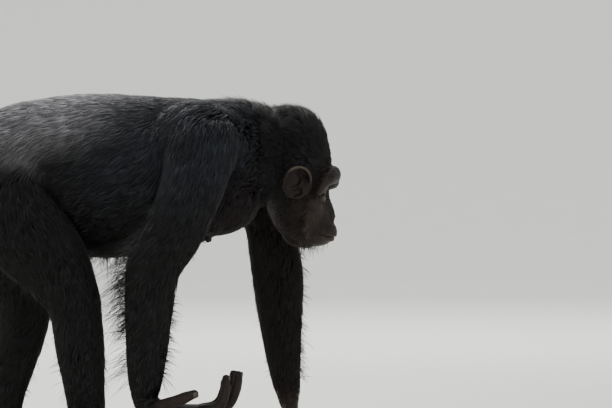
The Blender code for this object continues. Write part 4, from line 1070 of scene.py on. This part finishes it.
def grow(ground, count, seed):
    """Places tufts over the skin and works out the course of each."""
    chance = np.random.default_rng(seed)
    centre = ground.corners.mean(axis=1)
    share = limb_places(centre)[4]
    head_share = lie_of_coat(centre, ground.facing, np.zeros_like(centre), share)[1]
    bare, sparse = bare_share(centre)
    density = ground.area * (1 - bare) * (1 - 0.72 * sparse)
    density *= 1 + 1.3 * head_share + 0.15 * share
    under = smooth_step(-0.2, -0.8, ground.facing[:, 2]) * (1 - share)
    density *= 1 - 0.30 * under
    chosen = chance.choice(len(density), count, p=density / density.sum())
    a, b = chance.random(count), chance.random(count)
    over = a + b > 1
    a, b = np.where(over, 1 - a, a), np.where(over, 1 - b, b)
    first, second, third = ground.corners[chosen].transpose(1, 0, 2)
    roots = first + a[:, None] * (second - first) + b[:, None] * (third - first)

    normals = ground.facing[chosen]
    which, down, way, depth, share = limb_places(roots)
    lie, head_share = lie_of_coat(roots, normals, way, share)
    thick, nape = coat_thickness(roots, depth, share, head_share)
    bare, sparse = bare_share(roots)
    tousle = np.maximum(nape, head_share * smooth_step(0.60, 0.68, roots[:, 2]))
    lie = flat_to(lie, normals)
    across = np.cross(normals, lie)
    stray = 0.22 * NOISES[5](roots, 0.065) + 0.15 * NOISES[6](roots, 0.020) + chance.normal(0, 0.07, count)
    stray += tousle * (0.45 * NOISES[4](roots, 0.022) + chance.normal(0, 0.15, count))
    lie = unit(lie * np.cos(stray)[:, None] + across * np.sin(stray)[:, None])

    leg = share * (which > 1)
    length = 0.058 + 0.010 * NOISES[3](roots, 0.07) - 0.012 * leg
    length = length * (1 - head_share) + (0.024 + 0.014 * tousle) * head_share
    fade = np.where(which < 2, smooth_step(9.6, 7.0, down), smooth_step(8.8, 6.5, down))
    length *= 1 - share * (1 - (0.35 + 0.65 * fade))
    length *= 1 - 0.50 * sparse
    length *= chance.uniform(0.70, 1.20, count)
    lift = thick * chance.uniform(0.42, 1.05, count) * (1 - 0.45 * sparse)
    lift *= 1 + 0.25 * tousle * chance.random(count)

    middle, middle_up = ground.nearest(roots + lie * (length * 0.46)[:, None])
    second_way = flat_to(lie, middle_up)
    end, end_up = ground.nearest(middle + second_way * (length * (0.54 - 0.20 * tousle))[:, None])
    middle = middle + middle_up * (lift * 0.80)[:, None]
    end = end + end_up * (lift * (1 + 0.12 * tousle))[:, None]
    thin = 1 - 0.35 * sparse
    width = (0.0021 - 0.0006 * head_share - 0.0003 * share) * thin * chance.uniform(0.7, 1.3, count)
    return roots - normals * 0.0010, middle, end, normals, middle_up, width * TUFT_WIDER, tousle


def clumped(roots, middle, end, tousle, chance, every):
    """Draws the tips of neighbours together, so that they read as locks."""
    leaders = chance.choice(len(roots), len(roots) // every, replace=False)
    tree = KDTree(len(leaders))
    for i, leader in enumerate(leaders):
        tree.insert(roots[leader], i)
    tree.balance()
    nearest = leaders[np.array([tree.find(root)[1] for root in roots])]
    offset = end[nearest] - end
    near = np.linalg.norm(offset, axis=1) < 0.040
    pull = (0.34 + 0.30 * tousle) * chance.uniform(0.4, 1.0, len(roots)) * near
    end = end + offset * pull[:, None]
    middle = middle + (middle[nearest] - middle) * (0.30 * pull)[:, None]
    return middle, end, nearest


# Hair that hangs free of a limb: which limb, from and to which section, the way out of it,
# how far it spreads round that, how many, its length and how it droops
WISPS = (
    (1, 4.0, 8.2, (1.0, -0.15, 0.0), 0.50, 90, 0.042, 0.95),
    (1, 3.4, 5.2, (-1.0, -0.10, 0.0), 0.55, 60, 0.026, 1.70),
    (1, 5.2, 8.2, (-1.0, 0.0, 0.0), 0.60, 24, 0.028, 1.30),
    (0, 3.0, 8.4, (-1.0, 0.0, 0.0), 0.60, 150, 0.084, 1.15),
    (0, 4.6, 7.0, (-1.0, 0.0, 0.0), 0.45, 70, 0.100, 1.10),
    (0, 6.0, 8.4, (1.0, 0.0, 0.0), 0.50, 90, 0.042, 0.75),
    (0, 3.2, 6.0, (1.0, 0.0, 0.0), 0.55, 40, 0.026, 1.00),
    (2, 1.6, 7.6, (-1.0, 0.0, 0.0), 0.70, 60, 0.042, 1.40),
    (2, 2.4, 7.4, (1.0, 0.0, 0.0), 0.60, 60, 0.042, 1.30),
    (3, 1.6, 7.6, (-1.0, 0.0, 0.0), 0.70, 50, 0.042, 1.40),
    (3, 2.4, 7.4, (1.0, 0.0, 0.0), 0.60, 34, 0.038, 1.30),
)
# Hair that hangs or stands free of the belly, the chin and the nape: how many, from and to x,
# half width, length, height, the way out and how it droops
BODY_WISPS = (
    (150, (-0.245, 0.010), 0.085, 0.085, 0.430, (-0.55, 0.0, -0.8), 0.8),
    (15, (0.350, 0.405), 0.022, 0.030, 0.455, (0.10, 0.0, -1.0), 0.8),
    (90, (0.262, 0.302), 0.050, 0.036, 0.750, (0.80, 0.0, 0.45), 0.3),
)
HAIRS_A_WISP = 6


def wisps(ground, seed):
    """Courses of the free hairs, a few to a wisp: root, two places along each, and tip."""
    chance = np.random.default_rng(seed)
    roots, outs, lengths, droops = [], [], [], []
    for limb, first, last, out, spread, count, length, droop in WISPS:
        fine = eased(LIMBS[limb], 12)
        at = (chance.uniform(first, last, count) * 12).astype(int)
        centre, radius = fine[at, :3], fine[at, 3:5].max(axis=1)
        way = unit(np.array(out) + chance.normal(0, spread, (count, 3)) * [0.6, 0.6, 0.3])
        roots.append(centre + way * radius[:, None])
        outs.append(way)
        lengths.append(length * (0.25 + chance.beta(1.6, 1.8, count)))
        droops.append(droop * chance.uniform(0.6, 1.4, count))
    for count, (low, high), half, length, height, out, droop in BODY_WISPS:
        place = np.column_stack([
            chance.uniform(low, high, count), chance.uniform(-half, half, count), np.full(count, height)])
        roots.append(place)
        outs.append(unit(np.array(out) + chance.normal(0, 0.35, (count, 3))))
        lengths.append(length * (0.25 + chance.beta(1.5, 2.0, count)))
        droops.append(np.full(count, droop))
    curl = chance.normal(0, 0.34, (sum(map(len, roots)), 3))
    roots, outs, curl = (np.repeat(rows, HAIRS_A_WISP, axis=0) for rows in (np.vstack(roots), np.vstack(outs), curl))
    length, droop = (np.repeat(np.concatenate(rows), HAIRS_A_WISP) for rows in (lengths, droops))
    roots = roots + chance.normal(0, 0.0045, roots.shape)
    outs = unit(outs + chance.normal(0, 0.10, outs.shape))
    curl = curl + chance.normal(0, 0.12, curl.shape)
    length = length * chance.uniform(0.45, 1.1, len(length))
    roots, normals = ground.nearest(roots)
    down = np.array([-0.10, 0, -1.0])
    places = [roots - normals * 0.0010]
    for share, sag in ((0.36, 0.25), (0.34, 0.75), (0.30, 1.15)):
        way = unit(outs + normals * 0.3 * (1 - sag) + down * (droop * sag)[:, None] + curl * sag)
        places.append(places[-1] + way * (length * share)[:, None])
    width = np.full(len(roots), 0.0009) * chance.uniform(0.6, 1.3, len(roots)) * TUFT_WIDER
    return places, normals, width


def tuft_meshes(name, places, ups, width, marks, flat_map, material):
    """Joined meshes of thin three-sided tufts through their places, pointed at both ends."""
    rings = len(places) - 2
    size = 2 + 3 * rings
    pattern = [(0, 2, 1), (0, 3, 2), (0, 1, 3)]
    for ring in range(rings - 1):
        low, high = 1 + 3 * ring, 4 + 3 * ring
        for i in range(3):
            j = (i + 1) % 3
            pattern += [(low + i, low + j, high + j), (low + i, high + j, high + i)]
    last, tip = size - 4, size - 1
    pattern += [(last, last + 1, tip), (last + 1, last + 2, tip), (last + 2, last, tip)]
    patch = [(0.5, 0)]
    for ring in range(rings):
        share = (ring + 1) / (rings + 1)
        patch += [(0, share), (1, share), (0.5, share)]
    patch = np.array(patch + [(0.5, 1)]) * PATCH
    pattern = np.array(pattern)
    most = FACES_A_PIECE // len(pattern)
    made = []
    for piece, start in enumerate(range(0, len(width), most)):
        part = slice(start, start + most)
        count = len(width[part])
        points = [places[0][part]]
        for ring in range(rings):
            here = places[ring + 1][part]
            way = unit(places[ring + 2][part] - places[ring][part])
            side = unit(np.cross(way, ups[part]))
            half = width[part][:, None] / 2 * (1 if ring == 0 else 0.75)
            points += [here + side * half, here - side * half, here + np.cross(side, way) * half]
        points = np.stack(points + [places[-1][part]], axis=1)
        points[..., 1] = np.clip(points[..., 1], *SIDE_LIMITS)
        points[..., 2] = np.maximum(points[..., 2], 0.0005)
        faces = (pattern[None] + size * np.arange(count)[:, None, None]).reshape(-1, 3)
        mesh = bpy.data.meshes.new(f"{name}_{piece + 1}")
        mesh.vertices.add(count * size)
        mesh.loops.add(len(faces) * 3)
        mesh.polygons.add(len(faces))
        mesh.vertices.foreach_set("co", points.ravel())
        mesh.loops.foreach_set("vertex_index", faces.ravel())
        mesh.polygons.foreach_set("loop_start", np.arange(len(faces)) * 3)
        mesh.polygons.foreach_set("use_smooth", np.ones(len(faces), bool))
        mesh.update(calc_edges=True)
        spread = flat_map[part][:, None] + patch[None]
        layer = mesh.uv_layers.new(name="OFBake")
        layer.data.foreach_set("uv", spread.reshape(-1, 2)[faces.ravel()].astype(np.float32).ravel())
        for mark, values in marks.items():
            store(mesh, mark, np.repeat(values[part], size))
        mesh.materials.append(material)
        made.append(object_of(mesh.name, mesh))
    return made


def flat_maps(points, skin):
    """Where each point lies on a flat unwrap of the skin's own shape."""
    coarse = object_of("unwrap", skin.data.copy())
    thin = coarse.modifiers.new("thin out", "DECIMATE")
    thin.ratio = 5000 / len(coarse.data.polygons)
    applied(coarse)
    for thing in bpy.context.selected_objects:
        thing.select_set(False)
    bpy.context.view_layer.objects.active = coarse
    coarse.select_set(True)
    bpy.ops.object.mode_set(mode="EDIT")
    bpy.ops.mesh.select_all(action="SELECT")
    bpy.ops.uv.smart_project(angle_limit=math.radians(66), island_margin=0.004)
    bpy.ops.object.mode_set(mode="OBJECT")
    mesh = coarse.data
    mesh.calc_loop_triangles()
    corner = np.empty(len(mesh.loop_triangles) * 3, int)
    mesh.loop_triangles.foreach_get("loops", corner)
    index = np.empty(len(mesh.loop_triangles) * 3, int)
    mesh.loop_triangles.foreach_get("vertices", index)
    flat = np.empty(len(mesh.loops) * 2)
    mesh.uv_layers.active.data.foreach_get("uv", flat)
    flat = flat.reshape(-1, 2)[corner.reshape(-1, 3)]
    shape = points_of(mesh)[index.reshape(-1, 3)]
    tree = BVHTree.FromPolygons([tuple(p) for p in points_of(mesh)], index.reshape(-1, 3).tolist())
    face = np.empty(len(points), int)
    place = np.empty_like(points)
    for i, point in enumerate(points):
        found = tree.find_nearest(point)
        place[i], face[i] = found[0], found[2]
    a, b, c = shape[face, 0], shape[face, 1], shape[face, 2]
    first, second, here = b - a, c - a, place - a
    d00, d01, d11 = (first * first).sum(1), (first * second).sum(1), (second * second).sum(1)
    d20, d21 = (here * first).sum(1), (here * second).sum(1)
    lower = np.maximum(d00 * d11 - d01 * d01, 1e-18)
    v, w = (d11 * d20 - d01 * d21) / lower, (d00 * d21 - d01 * d20) / lower
    corners = flat[face]
    found = corners[:, 0] + v[:, None] * (corners[:, 1] - corners[:, 0]) + w[:, None] * (corners[:, 2] - corners[:, 0])
    mesh = coarse.data
    bpy.data.objects.remove(coarse)
    bpy.data.meshes.remove(mesh)
    return np.clip(found, 0, 1 - PATCH)


def build_coat(skin):
    ground = Ground(skin)
    chance = np.random.default_rng(5)
    roots, middle, end, normals, ups, width, tousle = grow(ground, TUFTS, 3)
    middle, end, leader = clumped(roots, middle, end, tousle, chance, 20)
    tint = 0.55 * chance.random(len(roots)) + 0.45 * chance.random(len(roots))[leader]
    order = np.argsort(roots[:, 0])[::-1]
    roots, middle, end, ups, width, tint = [each[order] for each in (roots, middle, end, ups, width, tint)]
    free, free_ups, free_width = wisps(ground, 9)
    flat_map = flat_maps(np.vstack([roots, free[0]]), skin)
    material = coat_material()
    made = []
    for name, places, up, wide, strand, flat in (
            ("coat", [roots, middle, end], ups, width, tint, flat_map[:len(roots)]),
            ("wisps", free, free_ups, free_width, chance.random(len(free_width)), flat_map[len(roots):])):
        grey, sheen, beard = markings(places[0])
        marks = {"grey": grey, "sheen": sheen, "beard": beard, "thin": bare_share(places[0])[1], "strand": strand}
        made += tuft_meshes(name, places, up, wide, marks, flat, material)
    return made


# Eyes and nails


def build_eye(side, flip, material):
    """A wet eyeball with a bulging cornea, looking ahead and a little down."""
    shape = bmesh.new()
    bmesh.ops.create_uvsphere(shape, u_segments=64, v_segments=48, radius=EYEBALL)
    mesh = bpy.data.meshes.new("eye")
    shape.to_mesh(mesh)
    shape.free()
    points = points_of(mesh)
    angle = np.arccos(np.clip(points[:, 2] / EYEBALL, -1, 1))
    bulge = 0.0009 * smooth_step(0.62, 0.30, angle)
    points *= (1 + bulge / EYEBALL)[:, None]
    look = Vector((1, 0.16 * flip, -0.12)).normalized()
    turn = look.to_track_quat("Z", "Y").to_matrix()
    placed = points @ np.array(turn).T + np.array([EYE.x - 0.0004, EYE.y * flip, EYE.z])
    set_points(mesh, placed)
    store(mesh, "ring", angle)
    mesh.materials.append(material)
    mesh.shade_smooth()
    return object_of("eyeball_" + side, mesh)


def nail(joints, up, material, name):
    """A curved plate over the end of a finger or toe."""
    rows = np.array(joints)
    tip, before = rows[-1, :3], rows[-2, :3]
    radius = rows[-1, 3]
    way = (tip - before) / np.linalg.norm(tip - before)
    up = np.array(up) - way * (way @ np.array(up))
    up /= np.linalg.norm(up)
    side = np.cross(way, up)
    shape = bmesh.new()
    grid = []
    for along in np.linspace(-0.55, 0.78, 9):
        row = []
        for turn in np.linspace(-1, 1, 9):
            angle = turn * math.radians(52)
            narrow = 1 - 0.25 * max(0, along) ** 2 - 0.18 * max(0, -along)
            lift = radius * (1.07 - 0.22 * max(0, along - 0.15) - 0.05 * abs(along))
            centre = tip + way * along * radius * 0.95
            spot = centre + up * math.cos(angle) * lift + side * math.sin(angle) * lift * narrow
            row.append(shape.verts.new(spot))
        grid.append(row)
    for low, high in zip(grid, grid[1:]):
        for i in range(len(low) - 1):
            shape.faces.new((low[i], low[i + 1], high[i + 1], high[i]))
    bmesh.ops.recalc_face_normals(shape, faces=shape.faces)
    middle = grid[4][4]
    if middle.link_faces[0].normal.dot(Vector(up)) < 0:
        bmesh.ops.reverse_faces(shape, faces=shape.faces)
    mesh = bpy.data.meshes.new(name)
    shape.to_mesh(mesh)
    shape.free()
    made = object_of(name, mesh)
    thick = made.modifiers.new("thickness", "SOLIDIFY")
    thick.thickness, thick.offset = 0.0009, -1
    round_off = made.modifiers.new("round", "SUBSURF")
    round_off.levels = round_off.render_levels = 1
    applied(made)
    made.data.materials.append(material)
    made.data.shade_smooth()
    return made


def build_nails(material):
    nails = []
    for i, joints in enumerate(RIGHT_FINGERS):
        up = (0.9, 0, 0.2) if i < 4 else (0.1, -0.8, -0.5)
        nails.append(nail(joints, up, material, f"nail_hand_right_{i + 1}"))
    for i, joints in enumerate(LEFT_FINGERS):
        up = (-0.25, 0, -1) if i < 4 else (0.5, -0.8, 0.1)
        nails.append(nail(joints, up, material, f"nail_hand_left_{i + 1}"))
    for side, leg, flip in (("right", RIGHT_LEG, -1), ("left", LEFT_LEG, 1)):
        for i, toe in enumerate(TOES):
            up = (0.1, 0, 1) if i < 4 else (0, -0.45 * flip, 0.9)
            nails.append(nail(toe_rows(leg[-1], flip, toe), up, material, f"nail_foot_{side}_{i + 1}"))
    return nails


# Stage


def area_light(name, place, target, size, power, colour):
    light = bpy.data.lights.new(name, "AREA")
    light.shape, light.size, light.energy, light.color = "DISK", size, power, colour
    made = bpy.data.objects.new(name, light)
    bpy.context.scene.collection.objects.link(made)
    made.location = place
    made.rotation_euler = (Vector(target) - Vector(place)).to_track_quat("-Z", "Y").to_euler()
    return made


def build_stage():
    """A pale floor that curves up into a backdrop on every side."""
    shape = bmesh.new()
    rings = []
    profile = [(11.0, 0)] + [
        (11.0 + 6 * math.sin(math.radians(a)), 6 - 6 * math.cos(math.radians(a))) for a in range(10, 91, 10)
    ] + [(17.0, 8.0)]
    for away, height in profile:
        rings.append([
            shape.verts.new((away * math.cos(t), away * math.sin(t), height))
            for t in np.linspace(0, 2 * math.pi, 96, endpoint=False)
        ])
    shape.faces.new(rings[0])
    for low, high in zip(rings, rings[1:]):
        for i in range(96):
            j = (i + 1) % 96
            shape.faces.new((low[i], low[j], high[j], high[i]))
    bmesh.ops.recalc_face_normals(shape, faces=shape.faces)
    for face in shape.faces:
        face.smooth = True
    mesh = bpy.data.meshes.new("stage_floor")
    shape.to_mesh(mesh)
    shape.free()
    stage = object_of("stage_floor", mesh)
    nodes = Nodes("stage")
    tone = nodes.noise(6.0, 3.0)
    nodes.colour(nodes.mix(tone, (0.78, 0.78, 0.74, 1), (0.82, 0.82, 0.78, 1)))
    nodes.shader.inputs["Roughness"].default_value = 0.9
    mesh.materials.append(nodes.material)
    world = bpy.data.worlds.new("studio")
    bpy.context.scene.world = world
    world.use_nodes = True
    sky = world.node_tree.nodes["Background"]
    sky.inputs["Color"].default_value = (0.92, 0.96, 1.0, 1)
    sky.inputs["Strength"].default_value = 0.92
    area_light("key", (-0.9, 1.2, 3.6), (-0.1, 0, 0.55), 2.8, 200, (1.0, 0.98, 0.95))
    area_light("fill", (1.2, -4.2, 2.2), (0.1, 0, 0.5), 3.2, 42, (0.92, 0.96, 1.0))
    area_light("backdrop", (0.6, 4.5, 5.0), (0.6, 12.0, 1.0), 4.0, 500, (1.0, 0.99, 0.95))


def build_camera(shift):
    camera = bpy.data.cameras.new("camera")
    camera.lens, camera.sensor_width = LENS, SENSOR
    made = bpy.data.objects.new("camera", camera)
    bpy.context.scene.collection.objects.link(made)
    made.location = Vector(CAMERA_FROM) + shift
    made.rotation_euler = (math.pi / 2, 0, 0)
    bpy.context.scene.camera = made


def main():
    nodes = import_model()["nodes"]
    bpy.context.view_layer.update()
    low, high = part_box("eye_right")
    shift = (low + high) / 2 - Vector((EYE.x, -EYE.y, EYE.z))

    skin = build_skin()
    coat = build_coat(skin)
    cut(skin, eye_holes())
    places = points_of(skin.data)
    grey, sheen, beard = markings(places)
    bare, sparse = bare_share(places)
    for mark, values in (
            ("pale", skin_marks(places)), ("grey", grey), ("sheen", sheen), ("beard", 0 * beard),
            ("bare", np.clip(bare + 0.75 * sparse, 0, 1)), ("thin", sparse)):
        store(skin.data, mark, values)
    skin.data.materials.clear()
    skin.data.materials.append(skin_material())
    skin.data.shade_smooth()
    nails = build_nails(nail_material())
    eye_look = eye_material()
    eyes = {side: build_eye(side, flip, eye_look) for side, flip in (("left", 1), ("right", -1))}

    for piece in [skin] + coat + nails + list(eyes.values()):
        piece.data.transform(Matrix.Translation(shift))
        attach(piece, "root")
    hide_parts(*[name for name in nodes if not name.startswith("eye")])
    for side, ball in eyes.items():
        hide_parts("eye_" + side)
    build_stage()
    build_camera(shift)


main()
